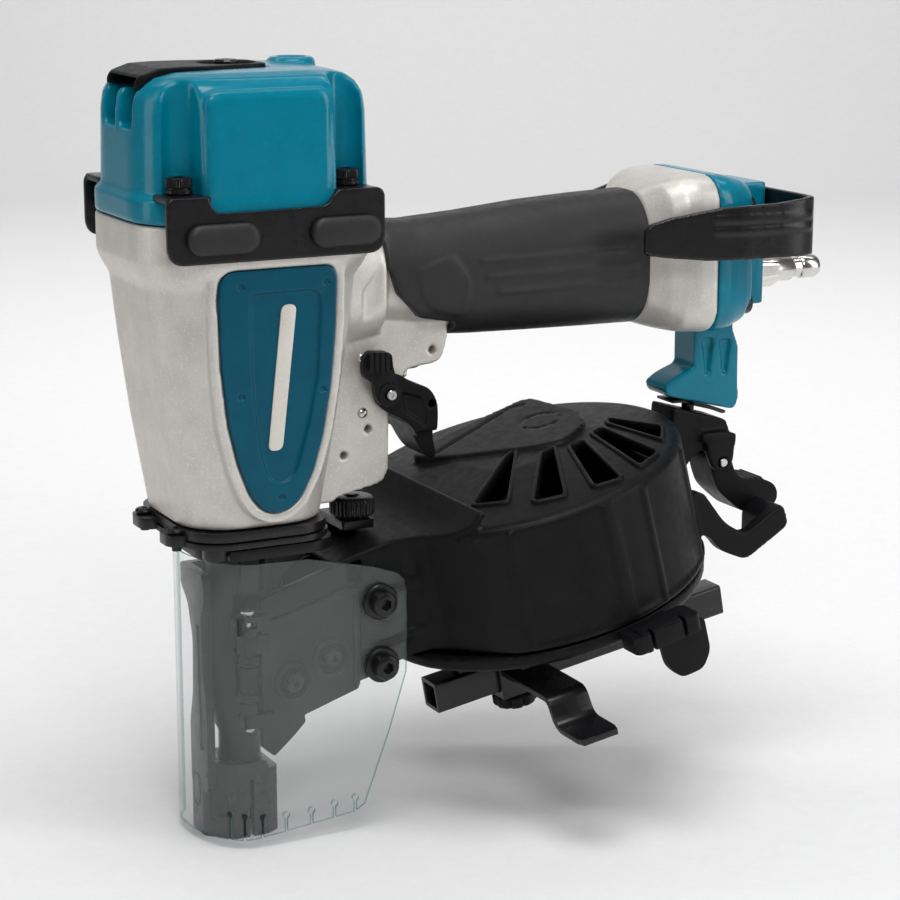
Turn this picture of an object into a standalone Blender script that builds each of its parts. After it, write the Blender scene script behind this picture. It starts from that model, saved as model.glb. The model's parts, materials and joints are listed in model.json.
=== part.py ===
"""Coil roofing nailer: pneumatic tool with a side-loading coil magazine, built as separate pieces.

Drawing frame: the nail leaves downwards along the drive axis X = Y = 0, and the contact foot's sole is
3.5 mm above Z = 0. +X runs back along the handle, +Z up, and -Y is the side the door opens towards.
Lengths below are millimetres until they are turned into metres when a mesh is made. The world's origin
stands at ORIGIN in the drawing frame, the bottom centre of the whole tool's box, and is not turned.
"""

import math

import bpy
from mathutils import Matrix, Vector

MM = 0.001
GAP = 0.3  # clearance left between neighbouring pieces
SMOOTH_BELOW = math.radians(38)
ORIGIN = Vector((96.2, -8.72, 3.5))

# Drive train, all on the drive axis
SOLE_Z = 3.5
CONTACT_TRAVEL = 8.0
NOSE_TIP_Z = SOLE_Z + CONTACT_TRAVEL + 1.0
FOOT_TOP_Z = 30.0
NOSE_TOP_Z = 111.0
NOSE_BORE = 5.2
FLANGE_Z = (111.3, 116.7)
HOUSING_Z = (117.0, 216.9)
CAP_Z = (217.2, 263.0)
CYLINDER_BORE = 19.0
CYLINDER_OUTER = 21.6
CYLINDER_Z = (125.3, 207.0)
PISTON_Z = (196.0, 206.0)

# Sections: z, reach to the front and to the rear, half width along Y, front and rear corner radius
HOUSING_SECTIONS = (
    (117.0, 25.2, 24.2, 28.3, 17.0, 17.0),
    (150.0, 30.4, 30.0, 31.5, 18.8, 18.8),
    (199.0, 36.2, 36.8, 34.9, 21.0, 20.0),
    (204.5, 39.6, 39.6, 37.7, 24.0, 19.0),
    (216.9, 39.6, 39.6, 37.7, 24.0, 19.0),
)
CAP_SECTIONS = (
    (217.2, 39.6, 39.6, 37.7, 24.0, 19.0),
    (224.7, 39.6, 39.6, 37.7, 24.0, 19.0),
    (226.5, 38.2, 39.2, 37.0, 26.0, 18.5),
    (251.0, 37.6, 38.6, 36.6, 26.0, 18.0),
    (257.0, 36.4, 37.4, 35.2, 25.0, 17.0),
    (261.0, 33.0, 34.2, 32.0, 22.0, 14.5),
    (263.0, 28.5, 30.0, 28.0, 18.0, 12.0),
)
BOLT_X = 28.2
BOLT_Y = 30.0
BRACKET_Y = (38.0, 40.0)
END_BOLTS = ((-18.0, 210.0), (-18.0, 175.0), (18.0, 210.0), (18.0, 175.0))
BADGE_Y = (34.2, 36.6)

# Handle: x, top z, bottom z, half width
GRIP_SECTIONS = (
    (49.0, 211.5, 173.0, 17.5),
    (62.0, 210.5, 171.5, 18.0),
    (84.0, 212.0, 170.2, 18.0),
    (108.0, 214.3, 169.6, 18.0),
    (130.0, 215.5, 169.2, 18.2),
    (150.0, 216.2, 169.0, 18.6),
)
GRIP_WALL = 3.2
WEB_HALF = 9.0

# Trigger group, in the X-Z plane
TRIGGER_PIVOT = (50.6, 153.8)
VALVE_X = 62.0
DIAL_X = 43.0

# Magazine: its axis leans back by TILT, and its parts are drawn in the (u, v, w) frame at CANISTER_AT
TILT = math.radians(14.0)
CANISTER_AT = (107.5, 2.0, 122.0)
COIL_CENTRE = (-4.0, -4.0)
COVER_RADIUS = 60.6
COVER_WALL = 2.3
RIM_Z = -45.3
FLOOR_W = (-52.0, -46.4)
HINGE_X = -2.5
HINGE_Y = -16.0
KNUCKLE = 3.3
RAIL_TILT = math.radians(10.0)
RAIL_AT = (66.0, -14.0, 45.3)
RAIL_LENGTH = 118.0
RAIL_SIZE = 11.0
RAIL_WALL = 1.5

WORLD = Matrix.Identity(4)
CANISTER = Matrix.Translation(CANISTER_AT) @ Matrix.Rotation(-TILT, 4, "Y")
RAIL = Matrix.Translation(RAIL_AT) @ Matrix.Rotation(-RAIL_TILT, 4, "Y")

COLOURS = {
    "teal_paint": ((0.005, 0.200, 0.300), 0.32, 0.0),
    "badge_teal": ((0.004, 0.120, 0.190), 0.42, 0.0),
    "silver_cast": ((0.500, 0.480, 0.460), 0.42, 0.55),
    "black_steel": ((0.016, 0.016, 0.017), 0.36, 0.60),
    "black_cast": ((0.020, 0.020, 0.021), 0.45, 0.30),
    "black_plastic": ((0.017, 0.017, 0.018), 0.42, 0.0),
    "grip_rubber": ((0.021, 0.021, 0.022), 0.72, 0.0),
    "bright_steel": ((0.560, 0.560, 0.550), 0.25, 1.0),
    "nickel_plate": ((0.620, 0.610, 0.590), 0.20, 1.0),
    "bumper_rubber": ((0.060, 0.055, 0.050), 0.80, 0.0),
    "clear_shield": ((0.780, 0.860, 0.850), 0.08, 0.0),
}


# ------------------------------------------------------------------ mesh tools
def solid(name, points, faces, frame=WORLD):
    """A mesh object from points in millimetres, drawn in the given frame."""
    mesh = bpy.data.meshes.new(name)
    mesh.from_pydata([(frame @ Vector(p) - ORIGIN) * MM for p in points], [], faces)
    mesh.update()
    made = bpy.data.objects.new(name, mesh)
    bpy.context.scene.collection.objects.link(made)
    return made


def loft(name, rings, frame=WORLD):
    """A closed body through rings that all have the same number of points."""
    count = len(rings[0])
    points = [p for ring in rings for p in ring]
    faces = [tuple(reversed(range(count)))]
    for level in range(len(rings) - 1):
        low = level * count
        for k in range(count):
            after = (k + 1) % count
            faces.append((low + k, low + after, low + count + after, low + count + k))
    faces.append(tuple(range(len(points) - count, len(points))))
    return solid(name, points, faces, frame)


def area(outline):
    """Twice the signed area of a flat outline."""
    return sum(
        a[0] * b[1] - b[0] * a[1] for a, b in zip(outline, outline[1:] + outline[:1])
    )


def prism(name, outline, plane, low, high, frame=WORLD):
    """An outline drawn in the "xy", "xz" or "yz" plane, carried from low to high along the third axis."""
    outline = list(outline)
    turns = 1 if plane in ("xy", "yz") else -1
    if area(outline) * turns < 0:
        outline.reverse()

    def place(point, depth):
        first, second = point
        if plane == "xy":
            return (first, second, depth)
        if plane == "xz":
            return (first, depth, second)
        return (depth, first, second)

    return loft(name, [[place(p, d) for p in outline] for d in (low, high)], frame)


def block(name, x, y, z, frame=WORLD):
    """A box from its (low, high) limits along each axis."""
    corners = [(x[0], y[0]), (x[1], y[0]), (x[1], y[1]), (x[0], y[1])]
    return prism(name, corners, "xy", z[0], z[1], frame)


def turned(name, profile, at=(0.0, 0.0, 0.0), axis="z", sides=20, frame=WORLD):
    """A round solid: profile is (radius, height) pairs, low to high, with every radius above zero."""
    rings = []
    for radius, height in profile:
        ring = []
        for k in range(sides):
            angle = 2 * math.pi * k / sides
            a, b = radius * math.cos(angle), radius * math.sin(angle)
            local = {"z": (a, b, height), "x": (height, a, b), "y": (b, height, a)}[axis]
            ring.append(tuple(o + d for o, d in zip(at, local)))
        rings.append(ring)
    return loft(name, rings, frame)


def rounded(half_x, half_y, radius, centre=(0.0, 0.0), steps=4):
    """A rounded rectangle's outline, counter-clockwise."""
    outline = []
    for quarter, (sx, sy) in enumerate(((1, 1), (-1, 1), (-1, -1), (1, -1))):
        for k in range(steps + 1):
            angle = math.pi / 2 * (quarter + k / steps)
            outline.append(
                (
                    centre[0] + sx * (half_x - radius) + radius * math.cos(angle),
                    centre[1] + sy * (half_y - radius) + radius * math.sin(angle),
                )
            )
    return outline


def arc(centre, radius, start, end, steps):
    """Points along an arc, angles in degrees."""
    return [
        (
            centre[0] + radius * math.cos(math.radians(start + (end - start) * k / steps)),
            centre[1] + radius * math.sin(math.radians(start + (end - start) * k / steps)),
        )
        for k in range(steps + 1)
    ]


def plan(front, rear, half_y, front_radius, rear_radius, steps=4):
    """A rounded outline that reaches from -front to rear along X, its corners rounder at one end."""
    outline = []
    back, fore = (rear, rear_radius), (-front, front_radius)
    for quarter, ((end, radius), side) in enumerate(((back, 1), (fore, 1), (fore, -1), (back, -1))):
        centre_x = end - math.copysign(radius, end)
        for k in range(steps + 1):
            angle = math.pi / 2 * (quarter + k / steps)
            y = side * (half_y - radius) + radius * math.sin(angle)
            outline.append((centre_x + radius * math.cos(angle), y))
    return outline


def stack(name, sections, steps=4):
    """A loft up Z through the plans given as (z, front, rear, half y, front radius, rear radius)."""
    rings = [[(x, y, z) for x, y in plan(*section, steps=steps)] for z, *section in sections]
    return loft(name, rings)


def tube_section(x, top, bottom, half_width, steps=4, roundness=0.86):
    """One ring of the handle at x, a rounded rectangle in the Y-Z plane."""
    half = (top - bottom) / 2
    radius = min(half_width, half) * roundness
    outline = rounded(half_width, half, radius, (0.0, (top + bottom) / 2), steps)
    return [(x, y, z) for y, z in outline]


def combine(base, tools, operation):
    """Fuse or cut base with each tool, then drop the tools."""
    for tool in tools:
        step = base.modifiers.new(operation, "BOOLEAN")
        step.operation = operation
        step.solver = "EXACT"
        step.object = tool
        bpy.context.view_layer.update()
        result = base.evaluated_get(bpy.context.evaluated_depsgraph_get())
        mesh = bpy.data.meshes.new_from_object(result)
        base.modifiers.clear()
        base.data = mesh
        bpy.data.objects.remove(tool)
    return base


def cut(base, *tools):
    return combine(base, tools, "DIFFERENCE")


def fuse(base, *tools):
    return combine(base, tools, "UNION")


def node(made, colour, origin=(0.0, 0.0, 0.0)):
    """Give a finished piece its material and put its origin at the given point."""
    rgb, roughness, metallic = COLOURS[colour]
    material = bpy.data.materials.new(f"{made.name}_{colour}")
    material.use_nodes = True
    shader = material.node_tree.nodes["Principled BSDF"]
    shader.inputs["Base Color"].default_value = (*rgb, 1.0)
    shader.inputs["Roughness"].default_value = roughness
    shader.inputs["Metallic"].default_value = metallic
    made.data.materials.clear()
    made.data.materials.append(material)
    at = (Vector(origin) - ORIGIN) * MM
    made.data.transform(Matrix.Translation(-at))
    made.location = at
    made.data.shade_smooth()
    made.data.set_sharp_from_angle(angle=SMOOTH_BELOW)
    made.data.name = made.name
    return made


def socket_bolt(name, at, axis, way, head, shank, socket=3.6):
    """A cap screw. way is +1 or -1 for the side its head points; head and shank are (radius, length)."""
    radius, tall = head
    profile = [
        (shank[0], -way * shank[1]),
        (shank[0], 0.0),
        (radius, 0.0),
        (radius, way * (tall - 0.6)),
        (radius - 0.6, way * tall),
    ]
    if way < 0:
        profile.reverse()
    made = turned(name, profile, at, axis, sides=12)
    ends = [(socket / 2, way * (tall - 2.2)), (socket / 2, way * (tall + 1.0))]
    if way < 0:
        ends.reverse()
    return cut(made, turned("socket", ends, at, axis, sides=6))


def remove_everything():
    for found in list(bpy.data.objects):
        bpy.data.objects.remove(found)


# ------------------------------------------------------------------ tool body
BADGE_OUTLINE = [
    (-14.7, 202.6),
    (20.0, 202.6),
    (22.1, 199.5),
    (21.4, 182.0),
    (19.6, 164.2),
    (16.5, 147.4),
    (13.0, 136.0),
    (8.4, 127.3),
    (4.3, 124.2),
    (-0.7, 123.4),
    (-5.0, 125.3),
    (-8.6, 130.0),
    (-12.4, 140.0),
    (-15.6, 153.5),
    (-17.6, 172.0),
    (-18.3, 195.0),
    (-17.6, 199.8),
]


def grown(outline, by):
    """A convex outline moved outwards by a distance."""
    if area(outline) < 0:
        outline = outline[::-1]
    sides = []
    for a, b in zip(outline, outline[1:] + outline[:1]):
        dx, dy = b[0] - a[0], b[1] - a[1]
        length = math.hypot(dx, dy)
        sides.append((dy / length, -dx / length))
    moved = []
    for k, point in enumerate(outline):
        before, after = sides[k - 1], sides[k]
        scale = by / (1 + before[0] * after[0] + before[1] * after[1])
        moved.append(
            (
                point[0] + scale * (before[0] + after[0]),
                point[1] + scale * (before[1] + after[1]),
            )
        )
    return moved


WEB_OUTLINE = [
    (14.0, 186.0),
    (75.5, 186.0),
    (75.5, 171.0),
    (74.3, 165.9),
    (72.4, 162.0),
    (59.1, 160.4),
    (57.0, 152.5),
    (53.4, 149.5),
    (52.8, 126.0),
    (33.8, 126.0),
    (33.8, 117.0),
    (14.0, 117.0),
]


def housing():
    made = stack("housing", HOUSING_SECTIONS)
    core = [
        tube_section(x, top - GRIP_WALL, bottom + GRIP_WALL, half - GRIP_WALL)
        for x, top, bottom, half in GRIP_SECTIONS
    ]
    core.insert(0, tube_section(26.0, 207.0, 176.0, 14.3))
    flare = [
        tube_section(150.3, 216.4, 168.8, 19.5, 4, 0.7),
        tube_section(156.0, 219.6, 167.4, 24.5, 4, 0.5),
        tube_section(163.0, 221.4, 166.4, 27.5, 4, 0.4),
        tube_section(172.0, 221.8, 166.0, 28.0, 4, 0.38),
    ]
    core[-1] = tube_section(150.4, 212.4, 172.6, 15.0)
    neck = [tube_section(30.0, 209.5, 172.0, 17.0), tube_section(48.7, 209.5, 172.0, 17.0)]
    bosses = [
        prism("boss", grown(BADGE_OUTLINE, 3.2), "xz", low, high)
        for low, high in ((-35.9, -20.0), (20.0, 35.9))
    ]
    fuse(
        made,
        loft("core", core),
        loft("neck", neck),
        loft("flare", flare),
        prism("web", WEB_OUTLINE, "xz", -WEB_HALF, WEB_HALF),
        *bosses,
    )
    air = [tube_section(x, 206.5, 178.5, 11.0, 3) for x in (10.0, 172.5)]
    seats = [
        prism("seat", grown(BADGE_OUTLINE, GAP), "xz", low, high)
        for low, high in ((-40.0, -BADGE_Y[0] + GAP), (BADGE_Y[0] - GAP, 40.0))
    ]
    cut(
        made,
        turned("sleeve_bore", [(CYLINDER_OUTER + GAP, 125.0), (CYLINDER_OUTER + GAP, 218.0)]),
        turned("air_space", [(27.0, 166.0), (27.0, 218.0)]),
        turned("driver_way", [(8.0, 116.0), (8.0, 126.0)]),
        loft("air_way", air),
        turned("valve_bore", [(6.3, 159.0), (6.3, 181.0)], (VALVE_X, 0.0, 0.0), sides=16),
        turned("pin_bore", [(2.1, -12.0), (2.1, 12.0)], (50.6, 0.0, 153.8), "y", 12),
        *seats,
    )
    for x in (-BOLT_X, BOLT_X):
        for y in (-BOLT_Y, BOLT_Y):
            cut(made, turned("tapped", [(2.7, 205.6), (2.7, 218.0)], (x, y, 0.0), sides=12))
    for x, y in NOSE_BOLTS:
        cut(made, turned("tapped", [(2.7, 116.0), (2.7, 123.5)], (x, y, 0.0), sides=12))
    for y, z in END_BOLTS:
        cut(made, turned("tapped", [(2.2, 160.0), (2.2, 173.0)], (0.0, y, z), "x", 8))
    return node(made, "silver_cast")


def cylinder_cap():
    made = stack("cylinder_cap", CAP_SECTIONS)
    ribs = []
    for side in (-1, 1):
        outer = [(-12.0, side * 38.6), (14.0, side * 38.6), (19.0, side * 34.0), (-17.0, side * 34.0)]
        ribs.append(prism("rib", outer, "xy", 228.0, 250.0))
    ribs.append(turned("rear_boss", [(8.0, 240.0), (8.0, 261.0), (6.5, 264.0)], (27.0, 10.0, 0.0)))
    fuse(made, *ribs)
    cover_seat = grown(EXHAUST_OUTLINE, GAP)
    cut(
        made,
        turned("chamber", [(27.0, 216.0), (27.0, 240.0), (20.0, 246.0)]),
        prism("cover_seat", cover_seat, "xy", EXHAUST_Z[0] - GAP, 270.0),
        block("outlet", (-45.0, -22.0), (-13.5, -1.6), (247.0, EXHAUST_Z[0] + 1.0)),
        block("outlet", (-45.0, -22.0), (1.6, 13.5), (247.0, EXHAUST_Z[0] + 1.0)),
        turned("screw_bore", [(2.2, 248.0), (2.2, 262.0)], sides=12),
    )
    for sx in (-1, 1):
        for sy in (-1, 1):
            x, y = sx * BOLT_X, sy * BOLT_Y
            pocket = block(
                "pocket",
                sorted((sx * 20.3, sx * 46.0)),
                sorted((sy * 23.2, sy * 46.0)),
                (224.7, 240.0),
            )
            hole = turned("hole", [(2.9, 216.0), (2.9, 226.0)], (x, y, 0.0), sides=12)
            cut(made, pocket, hole)
    return node(made, "teal_paint")


EXHAUST_OUTLINE = [
    (-33.0, -14.5),
    (-12.0, -15.5),
    (11.0, -10.0),
    (11.0, 10.0),
    (-12.0, 15.5),
    (-33.0, 14.5),
]
EXHAUST_Z = (258.5, 265.0)


def exhaust_cover():
    plate = grown(EXHAUST_OUTLINE, -0.2)
    made = prism("exhaust_cover", plate, "xy", EXHAUST_Z[0], EXHAUST_Z[1] - 0.6)
    cut(
        made,
        turned("dish", [(8.0, 262.2), (9.6, 270.0)], sides=16),
        turned("hole", [(2.5, 250.0), (2.5, 266.0)], sides=12),
        block("lip", (-37.0, -22.0), (-12.0, 12.0), (257.0, 261.4)),
    )
    return node(made, "black_plastic")


def side_bracket(name, side):
    low, high = sorted((side * BRACKET_Y[0], side * BRACKET_Y[1]))
    outline = [
        (-36.0, 225.0),
        (-36.0, 209.0),
        (-33.0, 206.0),
        (34.5, 206.0),
        (37.5, 209.0),
        (37.5, 225.0),
    ]
    made = prism(name, outline, "xz", low, high)
    cut(made, block("top", (-22.0, 19.0), (-50.0, 50.0), (222.5, 230.0)))
    for x in (-BOLT_X, BOLT_X):
        near, far = sorted((side * 24.5, side * BRACKET_Y[1]))
        tab = block("tab", (x - 7.0, x + 7.0), (near, far), (225.0, 227.0))
        hole = turned("hole", [(2.9, 224.0), (2.9, 228.0)], (x, side * BOLT_Y, 0.0), sides=12)
        fuse(made, tab)
        cut(made, hole)
    return node(made, "black_steel")


def bracket_pad(name, x, side):
    outline = rounded(12.0, 4.8, 4.6, (x, 213.8), steps=3)
    low, high = sorted((side * (BRACKET_Y[1] + GAP), side * 43.0))
    rings = []
    small = rounded(11.0, 3.8, 3.6, (x, 213.8), steps=3)
    levels = ((low, outline), (high - 1.0, outline), (high, small))
    if side < 0:
        levels = ((low, small), (low + 1.0, outline), (high, outline))
    for y, shape in levels:
        rings.append([(px, y, pz) for px, pz in reversed(shape)])
    return node(loft(name, rings), "grip_rubber")


def badge(name, side):
    low, high = sorted((side * BADGE_Y[0], side * BADGE_Y[1]))
    made = prism(name, BADGE_OUTLINE, "xz", low, high)
    face = side * BADGE_Y[1]
    inner = prism("panel", grown(BADGE_OUTLINE, -3.6), "xz", *sorted((face - side * 0.8, face + side)))
    cut(made, inner)
    return node(made, "badge_teal")


def grip_sleeve():
    outer = [tube_section(x, top, bottom, half) for x, top, bottom, half in GRIP_SECTIONS]
    shrink = GRIP_WALL - GAP
    inner = [
        tube_section(x, top - shrink, bottom + shrink, half - shrink)
        for x, top, bottom, half in GRIP_SECTIONS
    ]
    inner.insert(0, [(40.0, y, z) for _, y, z in inner[0]])
    inner.append([(160.0, y, z) for _, y, z in inner[-1]])
    made = loft("grip_sleeve", outer)
    undercut = [
        (40.0, 196.0),
        (50.5, 196.0),
        (53.1, 187.8),
        (62.3, 178.7),
        (73.5, 176.6),
        (76.2, 176.6),
        (76.2, 160.0),
        (40.0, 160.0),
    ]
    cut(made, loft("inside", inner), prism("undercut", undercut, "xz", -30.0, 30.0))
    return node(made, "grip_rubber")


END_FACE_X = 189.5
TOWER = ((180.0, 201.6), (-12.5, 12.5), (173.0, 217.0))
ARM_OUTLINE = [
    (176.0, 165.7),
    (184.0, 165.7),
    (184.0, 194.0),
    (201.6, 194.0),
    (201.6, 173.0),
    (194.0, 172.5),
    (192.0, 164.0),
    (194.8, 157.0),
    (195.3, 136.5),
    (193.5, 133.4),
    (165.0, 140.9),
    (163.5, 144.5),
    (168.0, 147.5),
    (176.0, 150.5),
]


def end_cap():
    made = loft(
        "end_cap",
        [
            tube_section(172.4, 221.8, 166.0, 28.0, 4, 0.38),
            tube_section(180.0, 221.4, 165.8, 27.4, 4, 0.38),
            tube_section(END_FACE_X, 218.5, 168.5, 23.5, 4, 0.38),
        ],
    )
    fuse(made, prism("arm", ARM_OUTLINE, "xz", -7.0, 7.0), block("tower", *TOWER))
    panel = [(180.0, 147.0), (190.0, 144.5), (191.0, 157.0), (180.0, 160.0)]
    cut(
        made,
        turned("inlet", [(6.0, 171.0), (6.0, 203.0)], (0.0, 0.0, 183.0), "x", 16),
        prism("panel", panel, "xz", -8.0, -5.5),
        prism("panel", panel, "xz", 5.5, 8.0),
        turned("lug_hole", [(2.8, 120.0), (2.8, 146.0)], (LUG_BOLT[0], 0.0, 0.0), sides=12),
    )
    for y, z in END_BOLTS:
        cut(made, turned("hole", [(2.5, 170.0), (2.5, 210.0)], (0.0, y, z), "x", 10))
    for y in (-8.0, 8.0):
        cut(made, turned("tapped", [(1.8, 190.0), (1.8, 203.0)], (0.0, y, 206.0), "x", 10))
    return node(made, "teal_paint")


def air_plug():
    profile = [
        (5.6, 185.0),
        (5.6, 201.9),
        (6.3, 201.9),
        (6.3, 212.8),
        (4.7, 213.4),
        (4.7, 220.4),
        (3.7, 221.2),
        (3.7, 224.4),
        (4.4, 225.2),
        (4.4, 231.2),
        (3.9, 232.0),
    ]
    made = turned("air_plug", profile, (0.0, 0.0, 183.0), "x", 18)
    cut(made, turned("bore", [(2.0, 184.0), (2.0, 233.0)], (0.0, 0.0, 183.0), "x", 12))
    return node(made, "nickel_plate")


HOOK_PATH = [
    (139.5, -31.5),
    (152.0, -35.0),
    (170.0, -41.5),
    (194.0, -43.2),
    (202.3, -41.2),
    (204.3, -36.5),
    (204.3, 36.5),
    (202.3, 41.2),
    (194.0, 43.2),
    (170.0, 41.5),
    (152.0, 35.0),
    (139.5, 31.5),
]
HOOK_THICK = 2.4


def strip(path, thick):
    """The outline of a strip that follows a path, its outer side on the path's right."""
    normals = []
    for k in range(len(path)):
        a = path[max(k - 1, 0)]
        b = path[min(k + 1, len(path) - 1)]
        length = math.hypot(b[0] - a[0], b[1] - a[1])
        normals.append(((b[1] - a[1]) / length, -(b[0] - a[0]) / length))
    inner = [(p[0] - n[0] * thick, p[1] - n[1] * thick) for p, n in zip(path, normals)]
    return path + inner[::-1]


def hook():
    made = prism("hook", strip(HOOK_PATH, HOOK_THICK), "xy", 194.5, 214.7)
    lower = [(134.0, 190.0), (162.0, 190.0), (160.0, 194.5), (148.0, 195.6), (134.0, 197.6)]
    upper = [(134.0, 205.6), (141.0, 207.4), (149.0, 209.6), (166.0, 212.8), (186.0, 213.4)]
    upper += [(200.0, 214.7), (200.0, 222.0), (134.0, 222.0)]
    cut(made, prism("lower", lower, "xz", -60.0, 60.0), prism("upper", upper, "xz", -60.0, 60.0))
    for y in (-8.0, 8.0):
        cut(made, turned("hole", [(2.2, 194.0), (2.2, 208.0)], (0.0, y, 206.0), "x", 10))
    return node(made, "black_steel")


# ------------------------------------------------------------------ nose and drive train
NOSE_BOLTS = ((-16.0, -22.5), (16.0, 22.5))
NOSE_KNUCKLE = (54.5, 66.5)
DOOR_KNUCKLES = ((67.0, 84.0), (45.5, 54.0))


def nose_flange():
    outline = rounded(25.5, 31.0, 14.0, (-0.5, 0.0), steps=4)
    made = prism("nose_flange", outline, "xy", *FLANGE_Z)
    ears = []
    for side in (-1, 1):
        ear = rounded(6.0, 7.0, 5.0, (-24.5, side * 13.0), steps=3)
        ears.append(prism("ear", ear, "xy", 111.3, 115.0))
    fuse(made, *ears)
    cut(made, turned("driver_way", [(7.0, 110.0), (7.0, 118.0)]))
    for x, y in NOSE_BOLTS:
        cut(made, turned("hole", [(2.8, 110.0), (2.8, 118.0)], (x, y, 0.0), sides=12))
    return node(made, "black_steel")


def nose_body():
    made = block("nose_body", (-11.0, 13.0), (-11.0, 12.0), (52.0, NOSE_TOP_Z))
    taper = loft(
        "taper",
        [
            [(x, y, 39.5) for x, y in rounded(7.2, 7.2, 5.0, steps=3)],
            [(x, y, 52.5) for x, y in rounded(10.9, 10.9, 2.0, steps=3)],
        ],
    )
    tip = turned("tip", [(6.6, NOSE_TIP_Z), (7.2, NOSE_TIP_Z + 2.0), (7.2, 41.0)])
    collar = prism("collar", rounded(24.0, 21.5, 12.0, (4.0, -4.0), steps=4), "xy", 105.7, NOSE_TOP_Z)
    knuckle = turned("knuckle", [(KNUCKLE, z) for z in NOSE_KNUCKLE], (HINGE_X, HINGE_Y, 0), sides=14)
    arm = block("arm", (-5.6, 0.6), (HINGE_Y, -10.0), NOSE_KNUCKLE)
    fuse(made, taper, tip, collar, knuckle, arm)
    cut(
        made,
        turned("bore", [(NOSE_BORE, 0.0), (NOSE_BORE, 120.0)]),
        block("feed_way", (0.0, 20.0), (-14.0, 5.0), (56.0, 90.0)),
        block("loading_way", (-5.1, 1.8), (-14.0, 0.0), (70.0, 90.0)),
        turned("pin_bore", [(2.0, 50.0), (2.0, 70.0)], (HINGE_X, HINGE_Y, 0.0), sides=12),
        turned("bolt_room", [(4.7, 100.0), (4.7, 115.0)], (*NOSE_BOLTS[0], 0.0), sides=14),
    )
    return node(made, "black_cast")


def cylinder_sleeve():
    made = turned("cylinder_sleeve", [(CYLINDER_OUTER, z) for z in CYLINDER_Z])
    cut(made, turned("bore", [(CYLINDER_BORE, 120.0), (CYLINDER_BORE, 210.0)]))
    return node(made, "bright_steel")


def piston_bumper():
    made = turned("piston_bumper", [(18.6, 125.4), (18.6, 130.0), (15.0, 133.2)])
    cut(made, turned("bore", [(4.2, 120.0), (4.2, 135.0)], sides=16))
    return node(made, "bumper_rubber")


def piston():
    made = turned("piston", [(18.8, PISTON_Z[0]), (18.8, PISTON_Z[1])])
    groove = turned("groove", [(20.0, 200.0), (20.0, 203.0)])
    cut(groove, turned("core", [(17.0, 199.0), (17.0, 204.0)]))
    cut(made, groove, turned("dish", [(12.0, 203.5), (13.0, 207.0)]))
    return node(made, "bright_steel", (0.0, 0.0, PISTON_Z[0]))


def driver_blade():
    made = turned("driver_blade", [(3.0, 94.0), (3.4, 97.0), (3.4, PISTON_Z[0] - GAP)], sides=16)
    return node(made, "bright_steel", (0.0, 0.0, PISTON_Z[0]))


def head_valve():
    made = turned("head_valve", [(23.5, 207.6), (26.6, 210.0), (26.6, 221.0), (22.0, 224.0)])
    cut(made, turned("bore", [(17.0, 206.0), (17.0, 214.0), (8.0, 219.0)]))
    return node(made, "black_plastic", (0.0, 0.0, 207.6))


def valve_cage():
    at = (VALVE_X, 0.0, 0.0)
    made = turned("valve_cage", [(6.0, 160.0), (6.0, 177.5)], at, sides=16)
    cut(made, turned("bore", [(2.3, 158.0), (2.3, 180.0)], at, sides=12))
    return node(made, "black_plastic")


def valve_stem():
    at = (VALVE_X, 0.0, 0.0)
    profile = [(1.7, 156.4), (2.0, 157.0), (2.0, 177.8), (3.6, 177.8), (3.6, 180.0)]
    made = turned("valve_stem", profile, at, sides=12)
    return node(made, "bright_steel", (VALVE_X, 0.0, 157.0))


TRIGGER_OUTLINE = [
    (47.0, 157.0),
    (50.6, 158.6),
    (55.0, 157.6),
    (62.0, 155.4),
    (68.0, 153.6),
    (70.9, 149.4),
    (70.9, 142.0),
    (70.0, 135.0),
    (71.3, 128.8),
    (69.4, 128.2),
    (66.0, 135.5),
    (62.0, 141.5),
    (56.5, 145.5),
    (50.0, 147.6),
    (46.8, 151.0),
]
PIVOT_AT = (TRIGGER_PIVOT[0], 0.0, TRIGGER_PIVOT[1])


def trigger():
    made = prism("trigger", TRIGGER_OUTLINE, "xz", -12.2, 12.2)
    slot = [(40.0, 170.0), (60.0, 170.0), (60.0, 140.0), (40.0, 140.0)]
    narrow = [(62.5, 139.0), (80.0, 139.0), (80.0, 120.0), (62.5, 120.0)]
    cut(
        made,
        prism("slot", slot, "xz", -9.4, 9.4),
        prism("narrow", narrow, "xz", -20.0, -9.0),
        prism("narrow", narrow, "xz", 9.0, 20.0),
        turned("pin_bore", [(2.1, -14.0), (2.1, 14.0)], PIVOT_AT, "y", 12),
        turned("side_hole", [(1.4, -14.0), (1.4, 14.0)], (68.0, 0.0, 148.4), "y", 8),
    )
    return node(made, "black_plastic", PIVOT_AT)


def trigger_pin():
    made = turned("trigger_pin", [(1.8, -17.2), (1.8, 13.4)], PIVOT_AT, "y", 12)
    return node(made, "bright_steel")


def mode_lever():
    outline = arc(TRIGGER_PIVOT, 4.4, 150, 390, 10)
    outline += [(54.6, 160.0), (55.4, 167.5), (53.5, 169.8), (47.5, 169.8), (45.4, 167.5), (46.4, 160.0)]
    made = prism("mode_lever", outline, "xz", -15.0, -12.6)
    tab = block("tab", (46.0, 55.0), (-18.0, -12.6), (164.5, 169.5))
    fuse(made, tab)
    cut(made, turned("pin_bore", [(2.1, -20.0), (2.1, -10.0)], PIVOT_AT, "y", 12))
    return node(made, "black_plastic", PIVOT_AT)


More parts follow.
